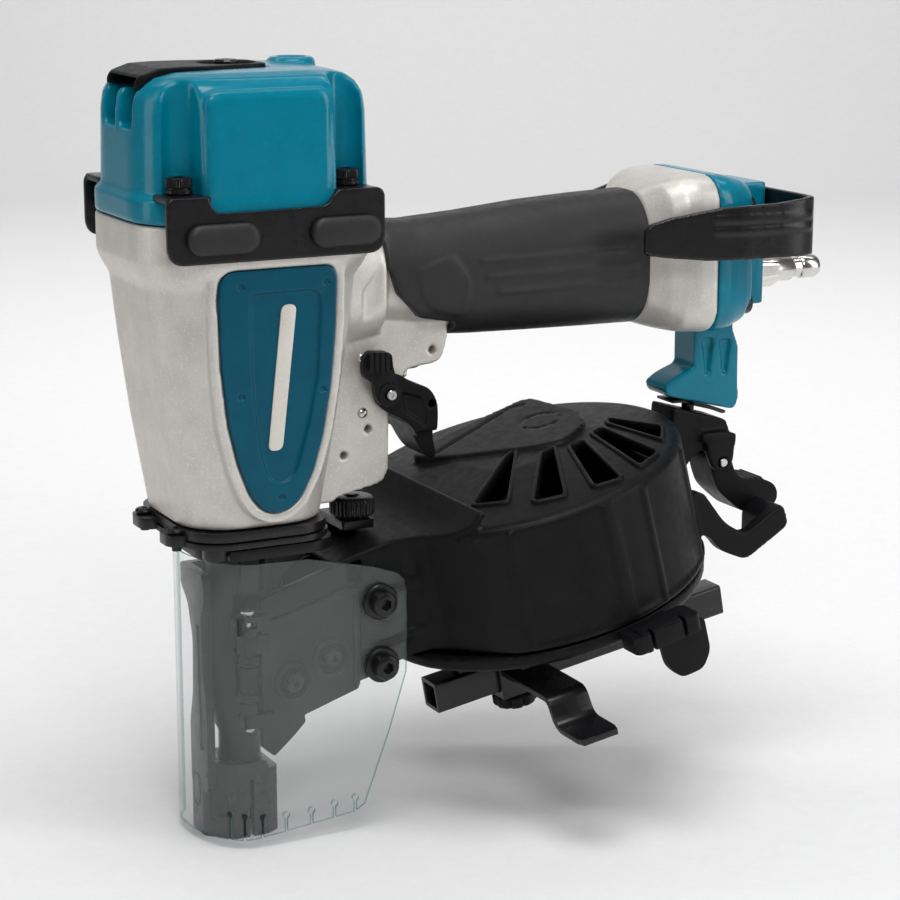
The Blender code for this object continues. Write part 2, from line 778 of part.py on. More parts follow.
def depth_dial():
    teeth = 14
    rings = []
    for height, deep, proud in ((109.5, 6.4, 7.0), (110.3, 6.9, 7.8), (115.8, 6.9, 7.8), (116.6, 6.4, 7.0)):
        ring = []
        for k in range(2 * teeth):
            angle = math.pi * k / teeth
            radius = proud if k % 2 else deep
            ring.append((DIAL_X + radius * math.cos(angle), radius * math.sin(angle), height))
        rings.append(ring)
    made = loft("depth_dial", rings)
    cut(made, turned("bore", [(2.7, 108.0), (2.7, 118.0)], (DIAL_X, 0.0, 0.0), sides=12))
    return node(made, "black_steel", (DIAL_X, 0.0, 109.5))


def contact_arm():
    foot = [(-14.3, 9.5), (-14.3, -2.0), (-6.0, -10.2), (6.0, -10.2), (11.0, -7.0), (11.0, 9.5)]
    made = prism("contact_arm", foot, "xy", SOLE_Z, FOOT_TOP_Z)
    outline = [
        (-6.5, 20.0),
        (9.0, 20.0),
        (9.0, 42.0),
        (6.0, 52.0),
        (5.0, 72.0),
        (9.0, 84.0),
        (15.2, 89.0),
        (15.2, 96.5),
        (-5.0, 96.5),
        (-5.5, 84.0),
        (-6.5, 60.0),
    ]
    front = prism("front", outline, "yz", -14.3, -11.4)
    side = [
        (-14.3, 89.0),
        (30.0, 89.0),
        (37.0, 96.0),
        (49.0, 98.0),
        (49.0, 108.9),
        (37.0, 108.9),
        (30.0, 96.5),
        (-14.3, 96.5),
    ]
    link = prism("link", side, "xz", 12.5, 15.2)
    tab = prism("tab", [(37.0, -6.0), (49.0, -6.0), (49.0, 15.2), (37.0, 15.2)], "xy", 106.0, 108.9)
    stud = turned("stud", [(2.4, 106.0), (2.4, 117.2)], (DIAL_X, 0.0, 0.0), sides=12)
    fuse(made, front, link, tab, stud)
    cut(made, turned("nose_bore", [(7.6, -5.0), (7.6, 60.0)]))
    return node(made, "black_steel")


def hinge_pin():
    made = turned("door_hinge_pin", [(2.6, 85.0), (2.6, 86.4)], (HINGE_X, HINGE_Y, 0.0), sides=12)
    fuse(made, turned("shank", [(1.7, 44.0), (1.7, 85.5)], (HINGE_X, HINGE_Y, 0.0), sides=12))
    return node(made, "bright_steel")


# ------------------------------------------------------------------ magazine, fixed pieces
LUG_BOLT = (178.0, 0.0)
LUG_OUTLINE = [
    (157.0, 104.0),
    (157.0, 118.0),
    (165.8, 122.0),
    (167.0, 136.8),
    (190.0, 130.2),
    (191.5, 124.5),
    (186.0, 122.4),
    (175.5, 117.5),
    (166.0, 104.0),
]
LATCH_PIVOT = (187.0, 115.0)


def canister_wall(name, outer, inner, start, end, low, high, steps):
    """Part of the drum wall between two angles, in the magazine frame."""
    outline = arc(COIL_CENTRE, outer, start, end, steps)
    outline += arc(COIL_CENTRE, inner, end, start, steps)
    return prism(name, outline, "xy", low, high, CANISTER)


def drum(name, profile, sides=36):
    """A round solid about the coil's axis, in the magazine frame."""
    return turned(name, profile, (*COIL_CENTRE, 0.0), "z", sides, CANISTER)


def magazine_base():
    made = drum("magazine_base", [(58.0, FLOOR_W[0]), (60.0, -50.0), (60.0, FLOOR_W[1])])
    cut(made, drum("well", [(55.5, -49.6), (55.5, -40.0)]))
    wall = canister_wall("wall", 58.0, 55.0, 14, 172, -51.0, -4.6, 16)
    low_wall = canister_wall("low_wall", 58.1, 55.1, -8, 16, -51.0, -16.0, 3)
    far = prism("far", [(13.4, 49.0), (13.4, 91.0), (56.0, 101.5), (56.0, 59.0)], "xz", 6.4, 9.0)
    floor = prism("floor", [(13.4, 48.0), (60.0, 59.6), (60.0, 63.6), (13.4, 52.0)], "xz", -11.2, 9.0)
    hub = drum("hub", [(9.0, -51.0), (8.4, -13.0)], 14)
    lug = prism("lug", LUG_OUTLINE, "xz", -8.0, 8.0)
    ear = [(180.0, 119.0), (180.0, 123.5), (193.0, 125.8), (191.0, 112.5), (187.0, 110.8), (183.0, 112.5)]
    ears = [prism("ear", ear, "xz", low, high) for low, high in ((-11.0, -8.4), (8.4, 11.0))]
    bridge = block("bridge", (178.0, 190.0), (-10.5, 10.5), (123.0, 126.5))
    motor = turned("feed_cylinder", [(8.0, 20.0), (8.0, 48.0)], (0.0, 16.4, 72.0), "x", 14)
    fuse(made, wall, low_wall, far, floor, hub, lug, bridge, *ears, motor)
    cut(
        made,
        turned("feed_bore", [(5.3, 14.0), (5.3, 42.0)], (0.0, 16.4, 72.0), "x", 12),
        turned("latch_bore", [(1.9, -12.0), (1.9, 12.0)], (187.0, 0.0, 115.0), "y", 10),
        turned("lug_hole", [(2.7, 121.0), (2.7, 140.0)], (LUG_BOLT[0], 0.0, 0.0), sides=10),
    )
    return node(made, "black_plastic")


def nail_platform():
    made = drum("nail_platform", [(44.0, -44.5), (44.0, -42.5), (14.0, -42.5), (14.0, -30.0)], 24)
    cut(made, drum("bore", [(9.6, -50.0), (9.3, -20.0)], 14))
    at = CANISTER @ Vector((*COIL_CENTRE, -44.5))
    return node(made, "black_plastic", at)


def feed_piston():
    made = turned("feed_piston", [(5.0, 22.0), (5.0, 28.0)], (0.0, 16.4, 72.0), "x", 12)
    rod = turned("rod", [(2.0, 14.2), (2.0, 23.0)], (0.0, 16.4, 72.0), "x", 8)
    fuse(made, rod)
    return node(made, "bright_steel", (22.0, 16.4, 72.0))


def shingle_rail():
    half = RAIL_SIZE / 2
    made = block("shingle_rail", (0.0, RAIL_LENGTH), (-half, half), (-half, half), RAIL)
    posts = [
        prism("post", [(a, low), (a + 8.0, low), (a + 8.0, high + 2.0), (a, high)], "xz", -18.0, -10.0)
        for a, low, high in ((76.0, 49.0, 60.2), (150.0, 62.0, 78.6))
    ]
    inside = (-half + RAIL_WALL, half - RAIL_WALL)
    fuse(made, *posts)
    cut(made, block("bore", (-1.0, RAIL_LENGTH + 1.0), inside, inside, RAIL))
    return node(made, "black_steel")


GUIDE_AT = 24.0


def shingle_guide():
    half = RAIL_SIZE / 2 + GAP
    ends = (GUIDE_AT, GUIDE_AT + 16.0)
    made = block("shingle_guide", ends, (-half - 2.0, half + 2.0), (-half - 2.0, half - 0.8), RAIL)
    cut(made, block("seat", (GUIDE_AT - 1.0, GUIDE_AT + 17.0), (-half, half), (-half, half + 3.0), RAIL))
    plate = [
        (-half - 0.8, 2.4),
        (-half - 0.8, 4.8),
        (-42.6, 4.8),
        (-46.0, -4.4),
        (-62.0, -4.4),
        (-62.0, -6.8),
        (-44.3, -6.8),
        (-40.9, 2.4),
    ]
    fuse(made, prism("plate", plate, "yz", GUIDE_AT + 0.5, GUIDE_AT + 15.5, RAIL))
    at = (GUIDE_AT + 8.0, 0.0, 0.0)
    cut(made, turned("hole", [(2.4, -20.0), (2.4, 0.0)], at, sides=10, frame=RAIL))
    return node(made, "black_steel", RAIL @ Vector((GUIDE_AT, 0.0, 0.0)))


def guide_screw():
    under = -RAIL_SIZE / 2 - GAP - 2.0
    profile = [(8.0, under - 5.5), (8.0, under - GAP), (2.1, under - GAP), (2.1, under + 2.0)]
    at = (GUIDE_AT + 8.0, 0.0, 0.0)
    made = turned("guide_thumb_screw", profile, at, sides=16, frame=RAIL)
    origin = RAIL @ Vector((GUIDE_AT + 8.0, 0.0, under))
    return node(made, "black_plastic", origin)


def floor_clip():
    made = prism("floor_clip", rounded(13.0, 6.0, 2.0, (6.4, -70.5), steps=2), "xy", -53.0, -45.8, CANISTER)
    tab = [(6.0, -51.0), (24.0, -51.0), (24.0, -66.0), (20.0, -69.5), (11.0, -69.5), (7.0, -66.0)]
    fuse(made, prism("tab", tab, "xz", -70.0, -66.5, CANISTER))
    cut(made, drum("ring", [(60.4, -60.0), (60.9, -40.0)], 40))
    return node(made, "black_plastic")


def lug_clip():
    slope = math.radians(-15.8)
    frame = Matrix.Translation((178.0, 0.0, 137.0 - 2.9)) @ Matrix.Rotation(-slope, 4, "Y")
    made = block("lug_clip", (-10.5, 10.5), (-9.0, 9.0), (0.2, 1.9), frame)
    hole = turned("hole", [(3.2, -5.0), (3.2, 5.0)], (0.0, 0.0, 0.0), sides=12, frame=frame)
    cut(made, hole)
    return node(made, "bright_steel")


# ------------------------------------------------------------------ magazine, swinging pieces
DOOR_AT = (HINGE_X, HINGE_Y, 45.5)
NECK_OUTER = [(-84.0, -21.6), (-57.5, -21.6), (-51.5, -33.0)]
NECK_INNER = [(-49.6, -31.5), (-56.0, -19.2), (-84.0, -19.2)]
NECK_START_X = 37.8


def magazine_cover():
    inner = COVER_RADIUS - COVER_WALL
    outline = NECK_OUTER + arc(COIL_CENTRE, COVER_RADIUS, 220, 348, 16)
    outline += arc(COIL_CENTRE, inner, 348, 221, 16) + NECK_INNER
    made = prism("magazine_cover", outline, "xy", RIM_Z, -2.0, CANISTER)
    rim = arc(COIL_CENTRE, COVER_RADIUS, 226, 510, 32)
    small = arc(COIL_CENTRE, COVER_RADIUS - 2.6, 226, 510, 32)
    top = arc(COIL_CENTRE, 18.0, 226, 510, 32)
    levels = ((rim, -3.0), (rim, -1.0), (small, 0.6), (top, 5.0))
    lid = loft("lid", [[(x, y, w) for x, y in ring] for ring, w in levels], CANISTER)
    roof = NECK_OUTER + [(-40.0, -50.0), (-30.0, -30.0), (-40.0, 14.0), (-84.0, 3.0)]
    neck_roof = prism("neck_roof", roof, "xy", -8.0, -5.0, CANISTER)
    plate = prism("plate", PLATE_OUTLINE, "xy", 0.0, 6.6, CANISTER)
    loop = prism("loop", LOOP_OUTLINE, "xz", -27.0, -21.0)
    bar = prism("bar", [(196.5, 96.5), (196.5, 87.0), (205.7, 93.1), (203.0, 101.3)], "xz", -26.0, -9.0)
    ribs = [
        canister_wall("rib", COVER_RADIUS + 1.0, COVER_RADIUS - 1.0, a, a + 2.2, RIM_Z + 0.6, -2.0, 1)
        for a in (238.0, 262.0, 292.0, 318.0)
    ]
    fuse(made, lid, neck_roof, plate, loop, bar, *ribs)
    wide = arc(COIL_CENTRE, inner - 3.0, 230, 506, 24)
    peak = arc(COIL_CENTRE, 14.0, 230, 506, 24)
    levels = ((wide, -8.5), (wide, -3.1), (peak, 2.4))
    cut(
        made,
        loft("inside", [[(x, y, w) for x, y in ring] for ring, w in levels], CANISTER),
        block("neck_end", (10.0, NECK_START_X), (-40.0, 30.0), (40.0, 120.0)),
        prism("fixed_side", [(36.0, 5.2), (64.0, 5.2), (64.0, 60.0), (36.0, 60.0)], "xy", 40.0, 107.5),
    )
    for x, z in SHIELD_BOLTS:
        cut(made, turned("hole", [(2.5, -22.0), (2.5, -16.0)], (x, 0.0, z), "y", 10))
    for vent in VENTS:
        cut(made, prism("vent", vent, "xy", -6.0, 12.0, CANISTER))
    return node(made, "black_plastic", DOOR_AT)


PLATE_OUTLINE = [
    (-11.0, 32.7),
    (28.6, 39.3),
    (32.0, 6.8),
    (27.0, -7.4),
    (13.8, -16.6),
    (4.8, -13.2),
    (-23.2, 12.2),
    (-29.7, 25.3),
]
LOOP_OUTLINE = [
    (160.0, 108.0),
    (160.0, 96.0),
    (172.0, 92.5),
    (177.0, 86.5),
    (187.4, 82.0),
    (205.7, 93.1),
    (203.0, 101.3),
    (187.0, 91.5),
    (178.0, 97.0),
    (168.0, 110.0),
]
VENTS = [
    [(-6.6, -9.0), (-33.5, -33.0), (-25.0, -40.5), (-2.6, -6.9)],
    [(2.4, -18.4), (-18.6, -48.4), (-9.4, -52.4), (7.2, -17.6)],
    [(12.6, -20.2), (1.8, -54.4), (11.0, -55.6), (18.2, -19.0)],
    [(25.0, -14.4), (21.6, -51.4), (31.6, -46.2), (30.0, -11.8)],
    [(35.2, -8.6), (39.6, -36.0), (46.0, -26.0), (37.6, -4.2)],
]


def nose_door():
    outline = [
        (2.0, 52.0),
        (2.0, 79.0),
        (37.5, 87.5),
        (37.5, 53.0),
        (17.0, 46.5),
        (13.0, 41.0),
        (6.0, 35.0),
        (2.0, 37.0),
    ]
    made = prism("nose_door", outline, "xz", -16.8, -13.4)
    rail = prism("rail", [(2.0, 78.0), (2.0, 88.5), (34.0, 98.0), (34.0, 80.0)], "xz", -15.8, -12.4)
    side = prism("side", [(34.0, 54.5), (50.5, 58.5), (50.5, 92.0), (34.0, 90.0)], "xz", -16.6, -13.6)
    parts = [rail, side]
    for low, high in DOOR_KNUCKLES:
        barrel = [(KNUCKLE, low), (KNUCKLE, high)]
        parts.append(turned("knuckle", barrel, (HINGE_X, HINGE_Y, 0.0), sides=14))
        parts.append(block("strap", (HINGE_X, 4.0), (-18.8, -13.8), (low, min(high, 79.0))))
    bosses = ((13.0, 59.0), (27.0, 65.5))
    for x, z in bosses:
        parts.append(turned("boss", [(6.0, -17.6), (6.4, -16.0)], (x, 0.0, z), "y", 14))
    fuse(made, *parts)
    cutters = [turned("pin_bore", [(2.0, 40.0), (2.0, 90.0)], (HINGE_X, HINGE_Y, 0.0), sides=12)]
    for x, z in bosses:
        cutters.append(turned("hole", [(1.7, -20.0), (1.7, -13.0)], (x, 0.0, z), "y", 10))
    for x, z in SHIELD_BOLTS:
        cutters.append(turned("hole", [(2.4, -20.0), (2.4, -13.0)], (x, 0.0, z), "y", 10))
    cut(made, *cutters)
    return node(made, "black_cast", DOOR_AT)


SHIELD_BOLTS = ((43.2, 84.4), (43.8, 62.0))
SHIELD_PLAN = [
    (53.5, -21.2),
    (30.0, -21.2),
    (4.0, -21.2),
    (-5.0, -20.4),
    (-12.0, -15.0),
    (-16.8, -6.0),
    (-18.6, 4.0),
    (-18.0, 12.0),
    (-14.0, 18.0),
]
SHIELD_TOP = [(-30.0, 103.5), (4.0, 103.5), (34.0, 99.5), (48.0, 95.5), (60.0, 88.0)]
SHIELD_REAR = [(54.0, 90.0), (54.0, 52.0), (41.0, 17.0), (32.0, 9.0), (10.0, 7.4), (-6.0, 5.0)]
SHIELD_THICK = 1.2


def shield():
    path = [(x, y) for x, y in reversed(SHIELD_PLAN)]
    made = prism("shield", strip(path, SHIELD_THICK), "xy", 6.0, 110.0)
    top = SHIELD_TOP + [(60.0, 115.0), (-30.0, 115.0)]
    rear = SHIELD_REAR + [(-6.0, 0.0), (70.0, 0.0), (70.0, 90.0)]
    cut(made, prism("top", top, "xz", -40.0, 40.0), prism("rear", rear, "xz", -40.0, 0.0))
    for x, z in SHIELD_BOLTS:
        cut(made, turned("hole", [(2.6, -25.0), (2.6, -16.0)], (x, 0.0, z), "y", 12))
    return node(made, "clear_shield", DOOR_AT)


def shield_bolt(name, x, z):
    head = [(4.2, -27.0), (4.4, -26.4), (4.4, -23.0), (6.2, -23.0), (6.2, -21.5)]
    made = turned(name, head + [(2.1, -21.5), (2.1, -14.2)], (x, 0.0, z), "y", 14)
    cut(made, turned("socket", [(2.0, -28.0), (2.0, -25.0)], (x, 0.0, z), "y", 6))
    return node(made, "black_steel", DOOR_AT)


def door_screw(name, x, z):
    profile = [(3.0, -19.6), (3.4, -19.0), (3.4, -17.9), (1.4, -17.9), (1.4, -14.2)]
    made = turned(name, profile, (x, 0.0, z), "y", 10)
    cut(made, turned("socket", [(1.3, -20.0), (1.3, -18.6)], (x, 0.0, z), "y", 6))
    return node(made, "black_steel", DOOR_AT)


LATCH_OUTLINE = [
    (183.0, 116.0),
    (186.0, 119.2),
    (190.0, 118.6),
    (192.6, 115.0),
    (194.4, 109.5),
    (198.6, 106.6),
    (206.0, 106.4),
    (212.0, 103.6),
    (213.8, 99.0),
    (211.2, 94.6),
    (204.0, 93.4),
    (197.6, 94.6),
    (191.0, 100.0),
    (186.8, 104.0),
    (184.6, 110.0),
]


def latch_lever():
    made = prism("latch_lever", LATCH_OUTLINE, "xz", -8.0, 8.0)
    at = (LATCH_PIVOT[0], 0.0, LATCH_PIVOT[1])
    cut(made, turned("pin_bore", [(1.9, -9.0), (1.9, 9.0)], at, "y", 12))
    return node(made, "black_plastic", at)


def latch_pin():
    made = turned("latch_pin", [(1.6, -11.6), (1.6, 11.6)], (LATCH_PIVOT[0], 0.0, LATCH_PIVOT[1]), "y", 12)
    return node(made, "bright_steel")


# ------------------------------------------------------------------ fasteners
def fasteners():
    number = 0
    for x in (-BOLT_X, BOLT_X):
        for y in (-BOLT_Y, BOLT_Y):
            number += 1
            bolt = socket_bolt(f"cap_bolt_{number}", (x, y, 227.3), "z", 1, (4.25, 5.2), (2.4, 21.0))
            node(bolt, "black_steel")
    for number, (y, z) in enumerate(END_BOLTS, 1):
        at = (END_FACE_X + GAP, y, z)
        node(socket_bolt(f"end_cap_bolt_{number}", at, "x", 1, (3.9, 4.0), (2.0, 27.0)), "black_steel")
    for number, (x, y) in enumerate(NOSE_BOLTS, 1):
        bolt = socket_bolt(f"nose_bolt_{number}", (x, y, 111.0), "z", -1, (4.2, 4.6), (2.4, 11.8))
        node(bolt, "black_steel")
    screw = socket_bolt("exhaust_cover_screw", (0.0, 0.0, 262.5), "z", 1, (4.0, 3.3), (1.9, 11.0), 3.0)
    node(screw, "black_steel")
    lug_bolt = socket_bolt("lug_bolt", (LUG_BOLT[0], 0.0, 141.0), "z", 1, (2.4, 2.0), (2.3, 17.5), 2.0)
    node(lug_bolt, "black_steel")


def build():
    remove_everything()
    housing()
    cylinder_cap()
    exhaust_cover()
    side_bracket("side_bracket_near", -1)
    side_bracket("side_bracket_far", 1)
    for word, side in (("near", -1), ("far", 1)):
        bracket_pad(f"bracket_pad_{word}_front", -18.0, side)
        bracket_pad(f"bracket_pad_{word}_rear", 23.5, side)
        badge(f"badge_{word}", side)
    grip_sleeve()
    end_cap()
    air_plug()
    hook()
    nose_flange()
    nose_body()
    cylinder_sleeve()
    piston_bumper()
    piston()
    driver_blade()
    head_valve()
    valve_cage()
    valve_stem()
    trigger()
    trigger_pin()
    mode_lever()
    depth_dial()
    contact_arm()
    hinge_pin()
    magazine_base()
    nail_platform()
    feed_piston()
    shingle_rail()
    shingle_guide()
    guide_screw()
    floor_clip()
    lug_clip()
    magazine_cover()
    nose_door()
    shield()
    for number, (x, z) in enumerate(SHIELD_BOLTS, 1):
        shield_bolt(f"shield_bolt_{number}", x, z)
    door_screw("door_screw_front", 13.0, 59.0)
    door_screw("door_screw_rear", 27.0, 65.5)
    latch_lever()
    latch_pin()
    fasteners()


build()
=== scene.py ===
"""Looks of the coil roofing nailer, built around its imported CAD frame.

Shapes are drawn in millimetres in a tool frame: the nail leaves downwards along the drive axis
X = Y = 0, the contact foot's sole is at SOLE_Z, +X runs back along the handle, +Z is up and -Y is the
side that the magazine door opens towards. TOOL carries that frame into the row's.
"""

import json
import math

import bpy
from mathutils import Matrix, Vector


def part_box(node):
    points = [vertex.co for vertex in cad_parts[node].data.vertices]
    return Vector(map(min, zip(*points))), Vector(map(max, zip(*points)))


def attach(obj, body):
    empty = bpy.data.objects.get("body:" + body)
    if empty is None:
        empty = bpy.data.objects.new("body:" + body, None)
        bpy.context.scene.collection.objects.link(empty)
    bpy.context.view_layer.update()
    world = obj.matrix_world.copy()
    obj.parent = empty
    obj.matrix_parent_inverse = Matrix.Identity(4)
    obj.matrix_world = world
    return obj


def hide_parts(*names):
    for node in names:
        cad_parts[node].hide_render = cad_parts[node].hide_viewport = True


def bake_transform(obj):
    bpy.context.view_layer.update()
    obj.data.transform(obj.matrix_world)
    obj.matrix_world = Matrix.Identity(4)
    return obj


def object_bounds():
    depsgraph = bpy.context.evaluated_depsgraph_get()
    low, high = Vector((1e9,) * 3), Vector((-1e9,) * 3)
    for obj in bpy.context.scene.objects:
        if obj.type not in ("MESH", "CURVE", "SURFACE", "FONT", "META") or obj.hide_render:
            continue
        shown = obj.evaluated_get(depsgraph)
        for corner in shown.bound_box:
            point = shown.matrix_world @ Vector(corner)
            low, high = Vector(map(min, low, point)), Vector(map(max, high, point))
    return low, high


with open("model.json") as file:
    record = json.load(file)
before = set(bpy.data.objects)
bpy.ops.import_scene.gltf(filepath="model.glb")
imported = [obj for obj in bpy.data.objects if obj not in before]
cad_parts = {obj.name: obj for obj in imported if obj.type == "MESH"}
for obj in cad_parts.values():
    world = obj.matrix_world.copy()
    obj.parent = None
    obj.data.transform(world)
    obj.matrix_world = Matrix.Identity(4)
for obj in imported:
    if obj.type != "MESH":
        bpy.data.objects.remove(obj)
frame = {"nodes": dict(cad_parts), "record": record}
cad_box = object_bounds()

MM = 0.001
SOLE_Z = 3.5
blade_low, blade_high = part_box("driver_blade")
drive_axis = (blade_low + blade_high) / 2
TOOL = Matrix.Translation((drive_axis.x, drive_axis.y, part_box("contact_arm")[0].z - SOLE_Z * MM))
WORLD = Matrix.Identity(4)


# ------------------------------------------------------------------ surfaces
def surface(name, rgb, rough, metal=0, grain=(0.35, 0.02), mottle=0.12, wear=0, shine=0.5):
    """A finish with fine grain, slow changes of tone and gloss, and lighter worn edges.

    grain is (size, height) in millimetres.
    """
    made = bpy.data.materials.new(name)
    made.use_nodes = True
    tree = made.node_tree
    nodes, link = tree.nodes, tree.links.new
    shader = nodes["Principled BSDF"]
    shader.inputs["Metallic"].default_value = metal
    shader.inputs["Specular IOR Level"].default_value = shine
    where = nodes.new("ShaderNodeTexCoord")

    def noise(size, detail=3):
        texture = nodes.new("ShaderNodeTexNoise")
        texture.inputs["Scale"].default_value = 1 / (size * MM)
        texture.inputs["Detail"].default_value = detail
        link(where.outputs["Object"], texture.inputs["Vector"])
        return texture.outputs["Fac"]

    def ranged(value, low, high, start=0.3, end=0.7):
        step = nodes.new("ShaderNodeMapRange")
        step.inputs["From Min"].default_value = start
        step.inputs["From Max"].default_value = end
        step.inputs["To Min"].default_value = low
        step.inputs["To Max"].default_value = high
        link(value, step.inputs["Value"])
        return step.outputs["Result"]

    def mixed(factor, first, second):
        step = nodes.new("ShaderNodeMix")
        step.data_type = "RGBA"
        link(factor, step.inputs["Factor"])
        for socket, colour in ((6, first), (7, second)):
            if hasattr(colour, "is_linked"):
                link(colour, step.inputs[socket])
            else:
                step.inputs[socket].default_value = (*colour, 1)
        return step.outputs[2]

    dark = tuple(c * (1 - mottle) for c in rgb)
    light = tuple(c * (1 + mottle) for c in rgb)
    tone = mixed(ranged(noise(9), 0, 1), dark, light)
    speck = tuple(min(1, c * (1 + 2.2 * mottle)) for c in rgb)
    tone = mixed(ranged(noise(grain[0] * 1.3, 1), 0, 1, 0.56, 0.72), tone, speck)
    if wear:
        edges = nodes.new("ShaderNodeNewGeometry").outputs["Pointiness"]
        rubbed = tuple(min(1, c + wear * (0.25 + c)) for c in rgb)
        tone = mixed(ranged(edges, 0, 1, 0.53, 0.62), tone, rubbed)
    link(tone, shader.inputs["Base Color"])
    link(ranged(noise(3, 4), rough * 0.86, min(1, rough * 1.16)), shader.inputs["Roughness"])
    bump = nodes.new("ShaderNodeBump")
    bump.inputs["Distance"].default_value = grain[1] * MM
    bump.inputs["Strength"].default_value = 1
    link(noise(grain[0], 2), bump.inputs["Height"])
    link(bump.outputs["Normal"], shader.inputs["Normal"])
    return made


def clear_sheet(name, tint, milk, edge):
    """A thin clear plastic: it reflects as glass does, and tints and hazes what is behind it a little."""
    made = bpy.data.materials.new(name)
    made.use_nodes = True
    tree = made.node_tree
    nodes, link = tree.nodes, tree.links.new
    nodes.remove(nodes["Principled BSDF"])
    out = nodes["Material Output"]
    through = nodes.new("ShaderNodeBsdfTransparent")
    through.inputs["Color"].default_value = (*tint, 1)
    haze = nodes.new("ShaderNodeBsdfDiffuse")
    haze.inputs["Color"].default_value = (*edge, 1)
    gloss = nodes.new("ShaderNodeBsdfGlossy")
    gloss.inputs["Roughness"].default_value = 0.05
    where = nodes.new("ShaderNodeTexCoord")
    texture = nodes.new("ShaderNodeTexNoise")
    texture.inputs["Scale"].default_value = 60
    link(where.outputs["Object"], texture.inputs["Vector"])
    cloud = nodes.new("ShaderNodeMapRange")
    cloud.inputs["From Min"].default_value = 0.3
    cloud.inputs["From Max"].default_value = 0.7
    cloud.inputs["To Min"].default_value = milk * 0.8
    cloud.inputs["To Max"].default_value = milk * 1.2
    link(texture.outputs["Fac"], cloud.inputs["Value"])
    body = nodes.new("ShaderNodeMixShader")
    link(cloud.outputs["Result"], body.inputs[0])
    link(through.outputs[0], body.inputs[1])
    link(haze.outputs[0], body.inputs[2])
    fresnel = nodes.new("ShaderNodeFresnel")
    sides = nodes.new("ShaderNodeNewGeometry")
    either = nodes.new("ShaderNodeMapRange")
    either.inputs["To Min"].default_value = 1.38
    either.inputs["To Max"].default_value = 1 / 1.38
    link(sides.outputs["Backfacing"], either.inputs["Value"])
    link(either.outputs["Result"], fresnel.inputs["IOR"])
    whole = nodes.new("ShaderNodeMixShader")
    link(fresnel.outputs[0], whole.inputs[0])
    link(body.outputs[0], whole.inputs[1])
    link(gloss.outputs[0], whole.inputs[2])
    link(whole.outputs[0], out.inputs["Surface"])
    return made


LOOKS = {
    "teal_paint": surface("teal_gloss", (0, 0.185, 0.275), 0.2, 0, (1.6, 0.03), 0.05, 0.03, 0.3),
    "badge_teal": surface("teal_satin", (0, 0.075, 0.125), 0.34, 0, (0.5, 0.02), 0.08, 0.02, 0.2),
    "silver_cast": surface("silver_spray", (0.64, 0.615, 0.575), 0.4, 0.38, (0.55, 0.045), 0.07, 0.1),
    "black_steel": surface("black_enamel", (0.006, 0.006, 0.007), 0.3, 0, (0.6, 0.012), 0.15, 0.006, 0.4),
    "black_cast": surface("black_casting", (0.006, 0.006, 0.007), 0.34, 0, (0.5, 0.05), 0.25, 0.02, 0.26),
    "black_plastic": surface("black_nylon", (0.006, 0.006, 0.007), 0.42, 0, (0.45, 0.025), 0.2, 0.015, 0.13),
    "grip_rubber": surface("black_rubber", (0.014, 0.014, 0.015), 0.5, 0, (0.3, 0.04), 0.2, 0.01, 0.42),
    "bright_steel": surface("ground_steel", (0.56, 0.555, 0.545), 0.26, 1, (0.3, 0.01), 0.1, 0.1),
    "nickel_plate": surface("nickel", (0.64, 0.625, 0.6), 0.2, 1, (0.5, 0.008), 0.08, 0.1),
    "bumper_rubber": surface("bumper", (0.06, 0.055, 0.05), 0.8, 0, (0.4, 0.05), 0.2),
    "clear_shield": clear_sheet("clear_plastic", (0.955, 0.965, 0.965), 0.035, (0.8, 0.83, 0.83)),
}
EDGE_LOOK = clear_sheet("clear_edge", (0.5, 0.66, 0.64), 0.3, (0.18, 0.34, 0.33))
STRIPE_LOOK = surface("pale_stripe", (0.7, 0.67, 0.61), 0.42, 0.2, (0.4, 0.02), 0.06)


# ------------------------------------------------------------------ mesh tools
def about(degrees, axis):
    """A turn about an axis."""
    return Matrix.Rotation(math.radians(degrees), 4, axis)


def shell(name, points, faces, at=WORLD):
    """A mesh object from points in millimetres, drawn in the frame `at`."""
    mesh = bpy.data.meshes.new(name)
    mesh.from_pydata([TOOL @ ((at @ Vector(p)) * MM) for p in points], [], faces)
    mesh.update()
    made = bpy.data.objects.new(name, mesh)
    bpy.context.scene.collection.objects.link(made)
    return made


def loft(name, rings, at=WORLD):
    """A closed body through rings that all have the same number of points."""
    count = len(rings[0])
    points = [p for ring in rings for p in ring]
    faces = [tuple(reversed(range(count)))]
    for level in range(len(rings) - 1):
        low = level * count
        for k in range(count):
            after = (k + 1) % count
            faces.append((low + k, low + after, low + count + after, low + count + k))
    faces.append(tuple(range(len(points) - count, len(points))))
    return shell(name, points, faces, at)


def area(outline):
    """Twice an outline's signed area, above zero when it runs counter-clockwise."""
    return sum(a[0] * b[1] - b[0] * a[1] for a, b in zip(outline, outline[1:] + outline[:1]))


def placed(plane, point, depth):
    """A plane's point as a point in space."""
    first, second = point
    return {"xy": (first, second, depth), "xz": (first, depth, second), "yz": (depth, first, second)}[plane]


def prism(name, outline, plane, low, high, at=WORLD):
    """An outline in the "xy", "xz" or "yz" plane, carried from low to high along the third axis."""
    outline = [tuple(p) for p in outline]
    if area(outline) * (-1 if plane == "xz" else 1) < 0:
        outline.reverse()
    return loft(name, [[placed(plane, p, d) for p in outline] for d in (low, high)], at)


def block(name, x, y, z, at=WORLD):
    return prism(name, [(x[0], y[0]), (x[1], y[0]), (x[1], y[1]), (x[0], y[1])], "xy", z[0], z[1], at)


